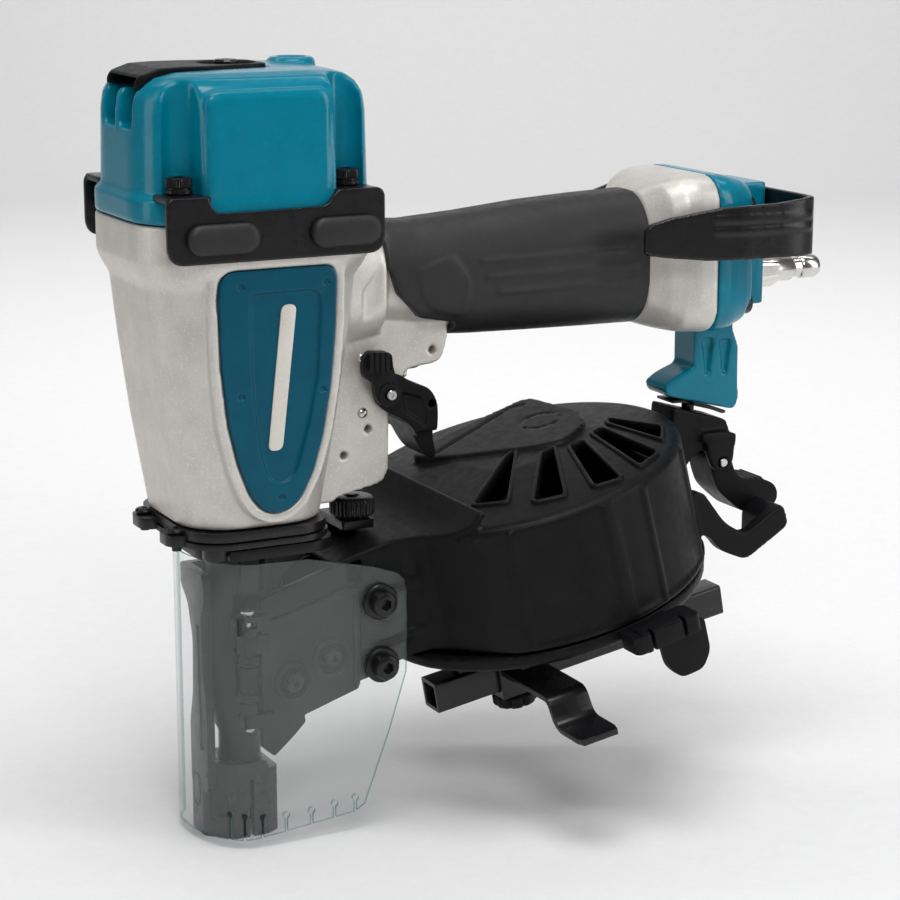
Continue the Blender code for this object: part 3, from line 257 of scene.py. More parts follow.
def turned(name, profile, at=(0, 0, 0), axis="z", sides=48, frame_at=WORLD):
    """A round solid: profile is (radius, height) pairs, low to high, with every radius above zero."""
    rings = []
    for radius, height in profile:
        ring = []
        for k in range(sides):
            angle = 2 * math.pi * k / sides
            a, b = radius * math.cos(angle), radius * math.sin(angle)
            local = {"z": (a, b, height), "x": (height, a, b), "y": (b, height, a)}[axis]
            ring.append(tuple(o + d for o, d in zip(at, local)))
        rings.append(ring)
    return loft(name, rings, frame_at)


def rod(name, radius, low, high, *where, **more):
    """A straight round bar or bore."""
    return turned(name, [(radius, low), (radius, high)], *where, **more)


def flank(name, outline, side, near, far):
    """A prism in the X-Z plane on one side of the tool, from near to far out along Y."""
    low, high = sorted((side * near, side * far))
    return prism(name, outline, "xz", low, high)


def rounded(half_x, half_y, radius, centre=(0, 0), steps=8):
    """A rounded rectangle's outline, counter-clockwise."""
    outline = []
    for quarter, (sx, sy) in enumerate(((1, 1), (-1, 1), (-1, -1), (1, -1))):
        for k in range(steps + 1):
            angle = math.pi / 2 * (quarter + k / steps)
            outline.append(
                (
                    centre[0] + sx * (half_x - radius) + radius * math.cos(angle),
                    centre[1] + sy * (half_y - radius) + radius * math.sin(angle),
                )
            )
    return outline


def arc(centre, radius, start, end, steps):
    """Points along an arc, angles in degrees."""
    turns = [math.radians(start + (end - start) * k / steps) for k in range(steps + 1)]
    return [(centre[0] + radius * math.cos(t), centre[1] + radius * math.sin(t)) for t in turns]


def softened(outline, reach, steps=6):
    """A closed outline with each corner turned into a curve that starts `reach` before it."""
    soft = []
    for k, point in enumerate(outline):
        corner = Vector(point)
        sides = [Vector(outline[k - 1]) - corner, Vector(outline[(k + 1) % len(outline)]) - corner]
        ends = [corner + s.normalized() * min(reach, s.length * 0.48) for s in sides]
        for step in range(steps + 1):
            t = step / steps
            soft.append(tuple(ends[0] * (1 - t) ** 2 + corner * 2 * t * (1 - t) + ends[1] * t * t))
    return soft


def eased(name, outline, reach, *where, steps=6):
    """A prism with its outline's corners softened."""
    return prism(name, softened(outline, reach, steps), *where)


def grown(outline, by):
    """An outline moved outwards by a distance."""
    if area(outline) < 0:
        outline = outline[::-1]
    sides = []
    for a, b in zip(outline, outline[1:] + outline[:1]):
        dx, dy = b[0] - a[0], b[1] - a[1]
        length = math.hypot(dx, dy) or 1
        sides.append((dy / length, -dx / length))
    moved = []
    for k, point in enumerate(outline):
        before, after = sides[k - 1], sides[k]
        scale = by / (1 + before[0] * after[0] + before[1] * after[1])
        moved.append(tuple(p + scale * (b + a) for p, b, a in zip(point, before, after)))
    return moved


def plan(front, rear, half_y, front_radius, rear_radius, steps=12):
    """A rounded outline that reaches from -front to rear along X, its corners rounder at one end."""
    outline = []
    back, fore = (rear, rear_radius), (-front, front_radius)
    for quarter, ((end, radius), side) in enumerate(((back, 1), (fore, 1), (fore, -1), (back, -1))):
        for k in range(steps + 1):
            angle = math.pi / 2 * (quarter + k / steps)
            x = end - math.copysign(radius, end) + radius * math.cos(angle)
            outline.append((x, side * (half_y - radius) + radius * math.sin(angle)))
    return outline


def stack(name, sections):
    """A loft up Z through the plans given as (z, front, rear, half y, front radius, rear radius)."""
    return loft(name, [[(x, y, z) for x, y in plan(*section)] for z, *section in sections])


def tube_section(x, top, bottom, half_width, roundness=0.86, steps=10):
    """One ring of the handle at x, a rounded rectangle in the Y-Z plane."""
    half = (top - bottom) / 2
    radius = min(half_width, half) * roundness
    outline = rounded(half_width, half, radius, (0, (top + bottom) / 2), steps)
    return [(x, y, z) for y, z in outline]


def tube(name, rows):
    """A length of the handle through rows of tube_section's values."""
    return loft(name, [tube_section(*row) for row in rows])


def toothed(name, levels, count, bite, centre, at=WORLD):
    """A knurled round.

    levels are (height, radius, depth); bite(k) is the share of the depth that is cut at point k.
    """
    rings = []
    for height, radius, depth in levels:
        ring = []
        for k in range(count):
            angle = 2 * math.pi * k / count
            reach = radius - depth * bite(k)
            x, y = centre[0] + reach * math.cos(angle), centre[1] + reach * math.sin(angle)
            ring.append((x, y, centre[2] + height))
        rings.append(ring)
    return loft(name, rings, at)


def combine(base, tools, operation):
    for tool in tools:
        step = base.modifiers.new(operation, "BOOLEAN")
        step.operation = operation
        step.solver = "EXACT"
        step.object = tool
        apply(base)
        bpy.data.objects.remove(tool)
    return base


def apply(piece):
    """Turn a piece's modifiers into mesh."""
    bpy.context.view_layer.update()
    result = piece.evaluated_get(bpy.context.evaluated_depsgraph_get())
    mesh = bpy.data.meshes.new_from_object(result)
    piece.modifiers.clear()
    piece.data = mesh
    return piece


def cut(base, *tools):
    return combine(base, tools, "DIFFERENCE")


def fuse(base, *tools):
    return combine(base, tools, "UNION")


def crease(piece, degrees):
    """Shade a piece smooth but for the edges that are sharper than an angle."""
    piece.data.shade_smooth()
    piece.data.set_sharp_from_angle(angle=math.radians(degrees))


def melted(piece, voxel, rounds):
    """Skin a piece with even small faces and smooth them, so that its edges and inner corners round off."""
    skin = piece.modifiers.new("skin", "REMESH")
    skin.mode = "VOXEL"
    skin.voxel_size = voxel * MM
    soft = piece.modifiers.new("soft", "SMOOTH")
    soft.factor = 0.5
    soft.iterations = rounds
    apply(piece)
    piece.data.shade_smooth()
    return piece


def bevelled(piece, width, segments=3):
    """Round a machined or stamped piece's edges."""
    step = piece.modifiers.new("edge", "BEVEL")
    step.width = width * MM
    step.segments = segments
    step.limit_method = "ANGLE"
    step.angle_limit = math.radians(32)
    step.harden_normals = False
    apply(piece)
    crease(piece, 50)
    return piece


def show(piece, look, body, *nodes, slot=None):
    """Give a piece its finish, its body and the CAD nodes that it stands for."""
    piece.data.materials.clear()
    piece.data.materials.append(look if isinstance(look, bpy.types.Material) else LOOKS[look])
    piece.data.name = piece.name
    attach(piece, body)
    if nodes:
        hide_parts(*nodes)
    return piece


# ------------------------------------------------------------------ camera, light and floor
CAMERA_TURN, CAMERA_RISE = -26.8, 13
CAMERA_AT = (-0.2931, -0.7401, 0.3199)
LENS_MM, SENSOR_MM = 97.7, 36
FLOOR_GAP = 0.0001


def studio():
    scene = bpy.context.scene
    azimuth, elevation = math.radians(CAMERA_TURN), math.radians(CAMERA_RISE)
    back = Vector(
        (
            math.sin(azimuth) * math.cos(elevation),
            -math.cos(azimuth) * math.cos(elevation),
            math.sin(elevation),
        )
    )
    camera = bpy.data.objects.new("camera", bpy.data.cameras.new("camera"))
    camera.data.lens = LENS_MM
    camera.data.sensor_width = SENSOR_MM
    camera.data.clip_start = 0.01
    camera.location = TOOL @ Vector(CAMERA_AT)
    camera.rotation_euler = back.to_track_quat("Z", "Y").to_euler()
    scene.collection.objects.link(camera)
    scene.camera = camera

    centre = (cad_box[0] + cad_box[1]) / 2
    up = Vector((0, 0, 1))
    right = up.cross(back).normalized()
    away = Vector((-back.x, -back.y, 0)).normalized()
    lamps = (
        ("left_box", -right * 0.8 + back * 0.2 + up * 0.25, (0.2, 0.8), 0.9),
        ("right_box", right * 0.85 + back * 0.25 + up * 0.3, (0.25, 0.9), 2.8),
        ("top_box", up * 0.95 + back * 0.25, (0.6, 0.45), 6),
        ("front_box", back * 1.05 + up * 0.55 + right * 0.1, (0.45, 0.3), 4.6),
        ("backdrop_light", away * 0.55 + up * 1.25, (1.8, 0.5), 23),
    )
    for name, offset, (width, height), power in lamps:
        lamp = bpy.data.lights.new(name, "AREA")
        lamp.shape = "RECTANGLE"
        lamp.size, lamp.size_y = width, height
        lamp.energy = power
        holder = bpy.data.objects.new(name, lamp)
        holder.location = centre + offset
        aim = offset if name != "backdrop_light" else up * 0.55 - away * 0.8
        holder.rotation_euler = aim.to_track_quat("Z", "Y").to_euler()
        scene.collection.objects.link(holder)

    world = bpy.data.worlds.new("studio")
    world.use_nodes = True
    sky = world.node_tree.nodes["Background"]
    sky.inputs["Color"].default_value = (1, 1, 1, 1)
    sky.inputs["Strength"].default_value = 0.11
    scene.world = world
    scene.view_settings.view_transform = "Standard"

    floor_z = cad_box[0].z - FLOOR_GAP
    turns = [math.pi / 2 * k / 24 for k in range(1, 25)]
    sweep = [(1.7 + 0.7 * math.sin(t), 0.7 - 0.7 * math.cos(t)) for t in turns]
    profile = [(-3, 0), (1.7, 0)] + sweep + [(2.4, 2.5)]
    rows = []
    for along, rise in profile:
        for sideways in (-4, 4):
            spot = centre + away * along + right * sideways
            rows.append((spot.x, spot.y, floor_z + rise))
    mesh = bpy.data.meshes.new("floor")
    mesh.from_pydata(rows, [], [(2 * k, 2 * k + 1, 2 * k + 3, 2 * k + 2) for k in range(len(profile) - 1)])
    floor = bpy.data.objects.new("floor", mesh)
    scene.collection.objects.link(floor)
    mesh.shade_smooth()
    mesh.materials.append(surface("pale_floor", (0.9, 0.9, 0.9), 0.7, 0, (3, 0.01), 0.01))


studio()


# ------------------------------------------------------------------ housing
BODY = "tool_body"
PIVOT = (50.6, 0, 153.8)
LATCH_AT = (187, 0, 115)
DIAL_AT = (43, 0, 0)
BADGE = [
    (-14.7, 202.6), (20, 202.6), (22.1, 199.5), (21.4, 182), (19.6, 164.2), (16.5, 147.4), (13, 136),
    (8.4, 127.3), (4.3, 124.2), (-0.7, 123.4), (-5, 125.3), (-8.6, 130), (-12.4, 140), (-15.6, 153.5),
    (-17.6, 172), (-18.3, 195), (-17.6, 199.8),
]
BADGE_PANEL = [
    (-7.3, 195.1), (13.7, 195.3), (16.5, 193.4), (16.4, 187.6), (15.2, 167.5), (12.2, 153.1), (7, 136),
    (2.6, 133), (-0.5, 133.6), (-3.2, 136.6), (-5.2, 145), (-7.1, 160.8), (-7.7, 181), (-7.7, 192.9),
]
BADGE_FACE = 36.6
HOUSING_LOW, HOUSING_TOP = 117, 216.9
HOUSING_SECTIONS = (
    (HOUSING_LOW, 25.2, 24.2, 28.3, 17, 17),
    (150, 30.4, 30, 31.5, 18.8, 18.8), (176, 33.6, 33.6, 33.4, 20, 19.6),
    (196.5, 35.6, 35.8, 34.6, 20.8, 20), (201.5, 38.4, 38.4, 36.6, 23, 19.5),
    (204.8, 39.6, 39.6, 37.7, 24, 19),
    (HOUSING_TOP, 39.6, 39.6, 37.7, 24, 19),
)
GRIP_SECTIONS = (
    (49, 211.5, 173, 17.5), (62, 210.5, 171.5, 18), (84, 212, 170.2, 18), (108, 214.3, 169.6, 18),
    (130, 215.5, 169.2, 18.2), (150, 216.2, 169, 18.6),
)
WEB = [
    (14, 186), (75.5, 186), (75.5, 171), (74.3, 165.9), (72.4, 162), (59.1, 160.4), (57, 152.5),
    (53.4, 149.5), (52.8, 126), (33.8, 126), (33.8, 117), (14, 117),
]
WEB_HALF = 9
CHEEK = [(31, 130), (31, 118.2), (34, 118.6), (48.6, 121.6), (51, 122.8), (52.8, 126), (52.8, 130)]
PIN_HOLES = ((69.8, 166.4), (45.6, 141.2), (36.5, 132.9))
DETENTS = ((43.1, 166.1), (43.2, 147))


def housing():
    made = stack("housing_shell", HOUSING_SECTIONS)
    core = [tube_section(x, top - 3.4, bottom + 3.4, half - 3.4) for x, top, bottom, half in GRIP_SECTIONS]
    core.insert(0, tube_section(26, 207, 176, 14.3))
    neck = (
        (28, 210.5, 170, 19.5), (36, 210.2, 170.5, 18.2), (44, 210, 171.5, 17), (49.6, 209.5, 172, 16.6),
    )
    flare = (
        (149, 215.6, 169.6, 18, 0.7), (151.5, 217.2, 168.5, 20.5, 0.62), (155, 219.2, 167.6, 24, 0.5),
        (160, 220.9, 166.7, 26.8, 0.42), (165, 221.6, 166.2, 27.8, 0.4), (172, 221.8, 166, 28, 0.38),
    )
    rims = []
    for side in (-1, 1):
        rims.append(flank("rim", softened(grown(BADGE, 3.6), 3), side, 20, 35.9))
    fuse(
        made,
        loft("core", core),
        tube("neck", neck),
        tube("flare", flare),
        eased("web", WEB, 3, "xz", -WEB_HALF, WEB_HALF, steps=4),
        *rims,
    )
    for side in (-1, 1):
        fuse(made, flank("cheek", CHEEK, side, WEB_HALF - 0.7, WEB_HALF))
        cut(made, flank("seat", softened(grown(BADGE, 0.4), 2.4), side, BADGE_FACE - 2.6, 45))
        window = [(40, 176.5), (47, 186.5), (47, 198.5), (39.8, 190)]
        cut(made, flank("window", softened(window, 1.5, 3), side, 16, 30))
    for x, z in PIN_HOLES:
        cut(made, rod("pin_hole", 1.5, -30, 30, (x, 0, z), "y", 24))
    cut(made, rod("pin_bore", 2.1, -12, 12, PIVOT, "y", 24))
    melted(made, 0.75, 7)
    show(made, "silver_cast", BODY, "housing")
    for number, (x, z) in enumerate(DETENTS, 1):
        dome = [(0.3, -1.05), (1, -0.9), (1.6, -0.5), (1.9, 0), (1.9, 0.8)]
        ball = turned(f"detent_{number}", dome, (x, -WEB_HALF, z), "y", 24)
        ball.data.shade_smooth()
        show(ball, "bright_steel", BODY)


def socket_screw(name, at, axis, way, head, shank, socket=3.6):
    """A cap screw with a plain head and a hexagonal socket; way is the side that its head points to."""
    radius, tall = head
    reach = [
        (shank[0], -shank[1]),
        (shank[0], -0.2),
        (radius - 0.5, -0.1),
        (radius, 0.4),
        (radius, tall - 0.9),
        (radius - 0.25, tall - 0.35),
        (radius - 0.8, tall),
    ]
    profile = [(r, way * z) for r, z in reach]
    hollow = [(socket / 2, way * (tall - 2.4)), (socket / 2, way * (tall + 1))]
    if way < 0:
        profile.reverse()
        hollow.reverse()
    made = turned(name, profile, at, axis, 40)
    cut(made, turned("socket", hollow, at, axis, 6))
    crease(made, 35)
    return made


# ------------------------------------------------------------------ cylinder cap and brackets
CAP_LOW = HOUSING_TOP + 0.3
CAP_SECTIONS = (
    (CAP_LOW, 39.6, 39.6, 37.7, 24, 19),
    (224.7, 39.6, 39.6, 37.7, 24, 19), (226.5, 38.2, 39.2, 37, 26, 18.5), (251, 37.6, 38.6, 36.6, 26, 18),
    (256, 36.8, 37.8, 35.6, 25, 17), (259.6, 34.6, 35.8, 33.6, 23.4, 15.8), (262, 31, 32.6, 30.4, 20, 14),
    (263.4, 25.5, 27.5, 25.4, 16, 12), (263.8, 18, 20, 18, 12, 10),
)
BOLT_X, BOLT_Y = 28.2, 30
BOSS_AT = (27, 10, 0)
EXHAUST = [(-36.5, -14.5), (-12, -15.5), (11, -10), (11, 10), (-12, 15.5), (-36.5, 14.5)]
EXHAUST_LOW = 258.5


def cylinder_cap():
    made = stack("cylinder_cap_shell", CAP_SECTIONS)
    for side in (-1, 1):
        rings = []
        for reach, half_x, half_z in ((30, 21.6, 18.4), (36.7, 21, 17.8), (37.5, 19, 15.6)):
            face = rounded(half_x, half_z, 4, (-0.3, 240.6))
            rings.append([(x, side * reach, z) for x, z in (face if side < 0 else face[::-1])])
        fuse(made, loft("bulge", rings))
    boss = turned("boss", [(8.6, 240), (8.2, 262.5), (7.6, 264.9), (6.8, 265.4)], BOSS_AT)
    fuse(made, boss)
    cut(
        made,
        eased("cover_seat", grown(EXHAUST, 0.4), 3, "xy", EXHAUST_LOW - 0.3, 270, steps=4),
        block("outlet", (-45, -24), (-13.2, -1.4), (246, EXHAUST_LOW + 1)),
        block("outlet", (-45, -24), (1.4, 13.2), (246, EXHAUST_LOW + 1)),
        turned("boss_dish", [(4.6, 264), (5.4, 267)], BOSS_AT),
    )
    for sx in (-1, 1):
        for sy in (-1, 1):
            x, y = sx * BOLT_X, sy * BOLT_Y
            groove = [(x + 6.4, sy * 46), *arc((x, y), 5.6, 0, -180 * sy, 12), (x - 6.4, sy * 46)]
            cut(made, prism("groove", groove, "xy", 224.7, 275))
    melted(made, 0.7, 8)
    show(made, "teal_paint", BODY, "cylinder_cap")


def exhaust_cover():
    plate = softened(grown(EXHAUST, -0.1), 4)
    made = prism("exhaust_plate", plate, "xy", EXHAUST_LOW, 264.9)
    cut(
        made,
        turned("dish", [(6.4, 262.4), (8, 262.7), (10.6, 265.6)]),
        block("lip", (-40, -22), (-12.4, 12.4), (257, 261.6)),
    )
    slope = [(-60, 275), (-60, 258.9), (-37.4, 258.9), (-34, 262.6), (-28, 264.6), (-20, 264.9), (-20, 275)]
    cut(made, prism("slope", slope, "xz", -40, 40))
    melted(made, 0.4, 5)
    show(made, "black_plastic", BODY, "exhaust_cover")


def side_brackets():
    for word, side in (("near", -1), ("far", 1)):
        outline = [
            (-36, 227), (-36, 209), (-33, 206), (34.5, 206), (37.5, 209), (37.5, 227), (20.5, 227),
            (18, 222), (-20, 221.6), (-22.6, 227),
        ]
        made = flank(f"bracket_{word}", softened(outline, 3.2), side, 37.9, 40)
        for x in (-BOLT_X, BOLT_X):
            near, far = sorted((side * 24.5, side * 40))
            tab = [(x - 7.2, near), (x + 7.2, near), (x + 7.2, far), (x - 7.2, far)]
            fuse(made, eased("tab", tab, 2, "xy", 225, 227))
            cut(made, rod("hole", 2.9, 224, 228, (x, side * BOLT_Y, 0), sides=24))
        melted(made, 0.4, 4)
        show(made, "black_steel", BODY, f"side_bracket_{word}")
        for end, x in (("front", -18), ("rear", 23.5)):
            rings = []
            for inset, proud in ((0, 0.1), (0, 1.6), (0.25, 2.2), (0.8, 2.7), (1.7, 3), (3, 3.15)):
                shape = rounded(12 - inset, 4.8 - inset, 4.7 - inset, (x, 213.8), steps=10)
                rings.append([(px, side * (40 + proud), pz) for px, pz in shape])
            if side > 0:
                rings.reverse()
            pad = loft(f"pad_{word}_{end}", rings)
            pad.data.shade_smooth()
            show(pad, "grip_rubber", BODY, f"bracket_pad_{word}_{end}")


def badges():
    dots = ((-10.6, 197.6), (18.6, 197.4), (-11.2, 162.5), (16.9, 162.7), (2, 128.6))
    for word, side in (("near", -1), ("far", 1)):
        made = flank(f"badge_plate_{word}", softened(BADGE, 2.2), side, 34.2, BADGE_FACE)
        cut(made, flank("panel", softened(BADGE_PANEL, 2), side, BADGE_FACE - 1, 40))
        for x, z in dots:
            inner, outer = sorted((side * (BADGE_FACE - 0.9), side * 38))
            cut(made, rod("dot", 1.1, inner, outer, (x, 0, z), "y", 24))
        melted(made, 0.4, 3)
        show(made, "badge_teal", BODY, f"badge_{word}")
        stripe = softened([(-2.4, 144), (2.6, 144), (8.2, 191), (3, 191)], 2.4)
        bar = flank(f"name_stripe_{word}", stripe, side, BADGE_FACE - 1.1, BADGE_FACE - 0.4)
        bevelled(bar, 0.2, 2)
        show(bar, STRIPE_LOOK, BODY, slot="silver_cast")


# ------------------------------------------------------------------ handle
def grip_sleeve():
    def sections(proud):
        rows = [(x, top + proud, bottom - proud, half + proud) for x, top, bottom, half in fine]
        return [tube_section(*row, steps=14) for row in rows]

    fine = []
    for a, b in zip(GRIP_SECTIONS, GRIP_SECTIONS[1:]):
        steps = 6
        fine += [tuple(p + (q - p) * k / steps for p, q in zip(a, b)) for k in range(steps)]
    fine.append(GRIP_SECTIONS[-1])
    ends = [fine[0], fine[-1]]
    fine[0] = (ends[0][0], ends[0][1] - 0.5, ends[0][2] + 0.5, ends[0][3] - 0.5)
    made = loft("grip_skin", sections(0))
    undercut = [
        (40, 196), (50.5, 196), (53.1, 187.8), (62.3, 178.7), (73.5, 176.6), (76.2, 176.6), (76.2, 160),
        (40, 160),
    ]
    patch = [(60, 195.5), (73, 199.5), (79.5, 190.5), (77.5, 178), (67.5, 181), (61.5, 186)]
    cut(made, prism("undercut", undercut, "xz", -30, 30))
    proud = loft("proud", sections(0.55))
    shapes = [eased("patch", patch, 1.2, "xz", -30, 30, steps=3)]
    for k, (start, end, height) in enumerate(((84, 140, 197), (86, 144, 191.5), (90, 144, 186))):
        line = [(start, height - 0.8), (end, height - 0.1), (end, height + 1.1), (start, height + 0.5)]
        shapes.append(prism("line", line, "xz", -30, 30))
    combine(shapes[0], shapes[1:], "UNION")
    combine(proud, [shapes[0]], "INTERSECT")
    hollow = loft("hollow", sections(-2))
    cut(proud, hollow)
    fuse(made, proud)
    melted(made, 0.7, 3)
    show(made, "grip_rubber", BODY, "grip_sleeve")


housing()
cylinder_cap()
exhaust_cover()
side_brackets()
badges()
grip_sleeve()


# ------------------------------------------------------------------ rear end
END_FACE_X = 189.5
END_BOLTS = ((-18, 210), (-18, 175), (18, 210), (18, 175))
PLUG_Z = 183
LUG_BOLT_X = 178


def end_cap():
    shell_rows = (
        (172.4, 221.8, 166, 28, 0.38), (177, 221.6, 165.9, 27.8, 0.38), (180, 221, 166.2, 27, 0.38),
        (186, 219.4, 167.8, 24.6, 0.38), (END_FACE_X, 217.8, 169.4, 22.6, 0.38),
    )
    made = tube("end_cap_shell", shell_rows)
    arm = [
        (176, 165.7), (184, 165.7), (184, 194), (201.6, 194), (201.6, 173), (194, 172.5), (192, 164),
        (194.8, 157), (195.3, 136.5), (193.5, 133.4), (165, 140.9), (163.5, 144.5), (168, 147.5),
        (176, 150.5),
    ]
    tower = [(180, -12.5), (201.6, -12.5), (201.6, 12.5), (180, 12.5)]
    parts = [
        eased("arm", arm, 1.6, "xz", -7, 7, steps=4),
        eased("tower", tower, 2, "xy", 173, 217),
    ]
    fuse(made, *parts)
    for side in (-1, 1):
        for x, low, high in ((179, 147.5, 161), (186.4, 147, 160)):
            wedge = [(x, high), (x + 5.2, high), (x + 3.6, low), (x + 2, low)]
            cut(made, flank("pocket", softened(wedge, 1, 3), side, 5.6, 9))
    cut(
        made,
        rod("inlet", 6, 196, 204, (0, 0, PLUG_Z), "x"),
        rod("lug_hole", 3, 120, 146, (LUG_BOLT_X, 0, 0)),
    )
    for y, z in END_BOLTS:
        cut(made, rod("bolt_seat", 4.8, END_FACE_X - 3, 200, (0, y, z), "x"))
    melted(made, 0.6, 6)
    show(made, "teal_paint", BODY, "end_cap")
    for number, (y, z) in enumerate(END_BOLTS, 1):
        bolt = socket_screw(f"rear_screw_{number}", (END_FACE_X - 2.9, y, z), "x", 1, (4, 4.4), (2, 20))
        show(bolt, "black_steel", BODY, f"end_cap_bolt_{number}")


def air_plug():
    profile = [
        (5.4, 192), (5.4, 201.7), (6.1, 201.8), (6.3, 202.3), (6.3, 212.2), (6, 212.8), (4.7, 213),
        (4.6, 213.4), (4.6, 220), (4.3, 220.5), (3.6, 221.4), (3.6, 224.2), (4, 224.6), (4.3, 225.2),
        (4.3, 230.4), (4.1, 231.2), (3.7, 232),
    ]
    made = turned("air_nipple", profile, (0, 0, PLUG_Z), "x", 64)
    cut(made, turned("bore", [(2, 215), (2.1, 233)], (0, 0, PLUG_Z), "x", 32))
    for k in range(3):
        spin = Matrix.Translation((0, 0, PLUG_Z)) @ about(60 * k, "X")
        for way in (-1, 1):
            flat = block("flat", (201.5, 213), sorted((way * 5.6, way * 12)), (-12, 12), spin)
            cut(made, flat)
    crease(made, 32)
    show(made, "nickel_plate", BODY, "air_plug")


HOOK_SCREWS_Y = (-8, 8)
HOOK_PATH = [
    (139.5, 31.5), (152, 35), (170, 41.5), (194, 43.2), (202.3, 41.2), (204.3, 36.5), (204.3, 0),
]


def strip(path, thick):
    """The outline of a strip that follows a path."""
    normals = []
    for k in range(len(path)):
        a, b = path[max(k - 1, 0)], path[min(k + 1, len(path) - 1)]
        length = math.hypot(b[0] - a[0], b[1] - a[1])
        normals.append(((b[1] - a[1]) / length, -(b[0] - a[0]) / length))
    inner = [(p[0] - n[0] * thick, p[1] - n[1] * thick) for p, n in zip(path, normals)]
    return path + inner[::-1]


def bent(path, steps=5, reach=6):
    """A path with its inner corners rounded."""
    soft = [path[0]]
    for a, b, c in zip(path, path[1:], path[2:]):
        corner = Vector(b)
        sides = [Vector(p) - corner for p in (a, c)]
        ends = [corner + side.normalized() * min(reach, side.length * 0.48) for side in sides]
        for step in range(steps + 1):
            t = step / steps
            soft.append(tuple(ends[0] * (1 - t) ** 2 + corner * 2 * t * (1 - t) + ends[1] * t * t))
    return soft + [path[-1]]


def hook():
    half = bent(HOOK_PATH)
    near = [(x, -y) for x, y in half]
    path = near + half[::-1][1:]
    made = prism("hook_strap", strip(path, 2.4), "xy", 194.5, 214.7)
    for low, high in ((203.6, 205.6), (207.4, 210)):
        outline = strip([(x + (0.45 if abs(y) < 37 else 0), y * (1 + 0.45 / 43)) for x, y in path], 1.6)
        ridge = prism("ridge", outline, "xy", low, high)
        for ends in ((100, 163), (201, 220)):
            cut(ridge, block("end", ends, (-60, 60), (190, 230)))
        fuse(made, ridge)
    lower = [(134, 190), (162, 190), (160, 194.5), (148, 195.6), (141, 196.6), (134, 200.6)]
    upper = [(134, 203), (139.4, 204.8), (141.6, 207.4), (149, 209.6), (166, 212.8), (186, 213.4)]
    upper += [(200, 214.7), (200, 222), (134, 222)]
    cut(made, prism("lower", lower, "xz", -60, 60), prism("upper", upper, "xz", -60, 60))
    for y in HOOK_SCREWS_Y:
        cut(made, rod("hole", 2.2, 194, 208, (0, y, 206), "x", 24))
    melted(made, 0.5, 5)
    show(made, "black_steel", BODY, "hook")
    for number, y in enumerate(HOOK_SCREWS_Y, 1):
        screw = socket_screw(f"hook_screw_{number}", (202.7, y, 206), "x", 1, (3.4, 1.5), (1.8, 6), 2.6)
        show(screw, "black_steel", BODY)


# ------------------------------------------------------------------ magazine
TILT = math.radians(14)
CANISTER = Matrix.Translation((107.5, 2, 122)) @ Matrix.Rotation(-TILT, 4, "Y")
COIL = (-4, -4)
COVER_RADIUS = 60.6
COVER_WALL = 2.3
FEED_AT = (0, 16.4, 72)
RING_AT = (18, 10.5, 0)
RIM_W = -45.3
PLATE = [
    (-11, 32.7), (28.6, 39.3), (32, 6.8), (27, -7.4), (13.8, -16.6), (4.8, -13.2), (-23.2, 12.2),
    (-29.7, 25.3),
]
LOOP = [
    (160, 108), (160, 96), (172, 92.5), (177, 86.5), (187.4, 82), (205.7, 93.1), (203, 101.3), (187, 91.5),
    (178, 97), (168, 110),
]
VENTS = [
    [(-6.6, -9), (-33.5, -33), (-25, -40.5), (-2.6, -6.9)],
    [(2.4, -18.4), (-18.6, -48.4), (-9.4, -52.4), (7.2, -17.6)],
    [(12.6, -20.2), (1.8, -54.4), (11, -55.6), (18.2, -19)],
    [(25, -14.4), (21.6, -51.4), (31.6, -46.2), (30, -11.8)],
    [(35.2, -8.6), (39.6, -36), (46, -26), (37.6, -4.2)],
]
NECK_OUTER = [
    (-84, -21.6), (-62, -21.6), (-57, -24.5), (-53, -29.5), (-49.5, -36), (-46, -42.5), (-42.5, -48.5),
]
NECK_INNER = [
    (-40.6, -47.2), (-44, -41.3), (-47.5, -34.8), (-51, -28.2), (-55.6, -22.6), (-61.4, -19.2),
    (-84, -19.2),
]
NECK_FAR = [(-30, -50), (-30, 40), (-44, 44), (-54, 30), (-58, 12), (-84, 3)]
LID_SLOPE = [(-37, 4.4), (-40.5, 1.2), (-43.5, -1.4), (-47, -3.4), (-51, -4.6), (-56, -5.2), (-84, -5.2)]
NECK_START_X = 37.8
SHIELD_BOLTS = ((43.2, 84.4), (43.8, 62))


def wall_part(name, outer, inner, start, end, low, high, steps):
    """A length of the magazine's round wall, from one angle to another."""
    outline = arc(COIL, outer, start, end, steps) + arc(COIL, inner, end, start, steps)
    return prism(name, outline, "xy", low, high, CANISTER)


def drum(name, profile, sides=96):
    """A round solid about the coil's axis."""
    return turned(name, profile, (*COIL, 0), "z", sides, CANISTER)


def lid_height(u, v):
    """How high the lid's skin is over a point of the magazine's plan."""
    out = math.hypot(u - COIL[0], v - COIL[1])
    return 5 - max(0, out - 18) * 4.4 / 40


def vent_rim(name, vent):
    """The raised lip round a vent, which follows the dome of the lid."""
    inner, outer = (softened(grown(vent, by), 1.8 + by, 5) for by in (0, 1.6))
    section = ((1, -3), (1, 0.4), (0.85, 0.75), (0.6, 0.9), (0.3, 0.9), (0.1, 0.75), (0, 0.4), (0, -3))
    points = []
    for share, proud in section:
        for a, b in zip(inner, outer):
            u, v = a[0] + (b[0] - a[0]) * share, a[1] + (b[1] - a[1]) * share
            points.append((u, v, lid_height(u, v) + proud))
    n, m = len(inner), len(section)
    faces = []
    for i in range(m):
        low, high = i * n, (i + 1) % m * n
        faces += [(low + j, low + (j + 1) % n, high + (j + 1) % n, high + j) for j in range(n)]
    made = shell(name, points, faces, CANISTER)
    made.data.shade_smooth()
    show(made, "black_plastic", "door", slot="black_plastic")


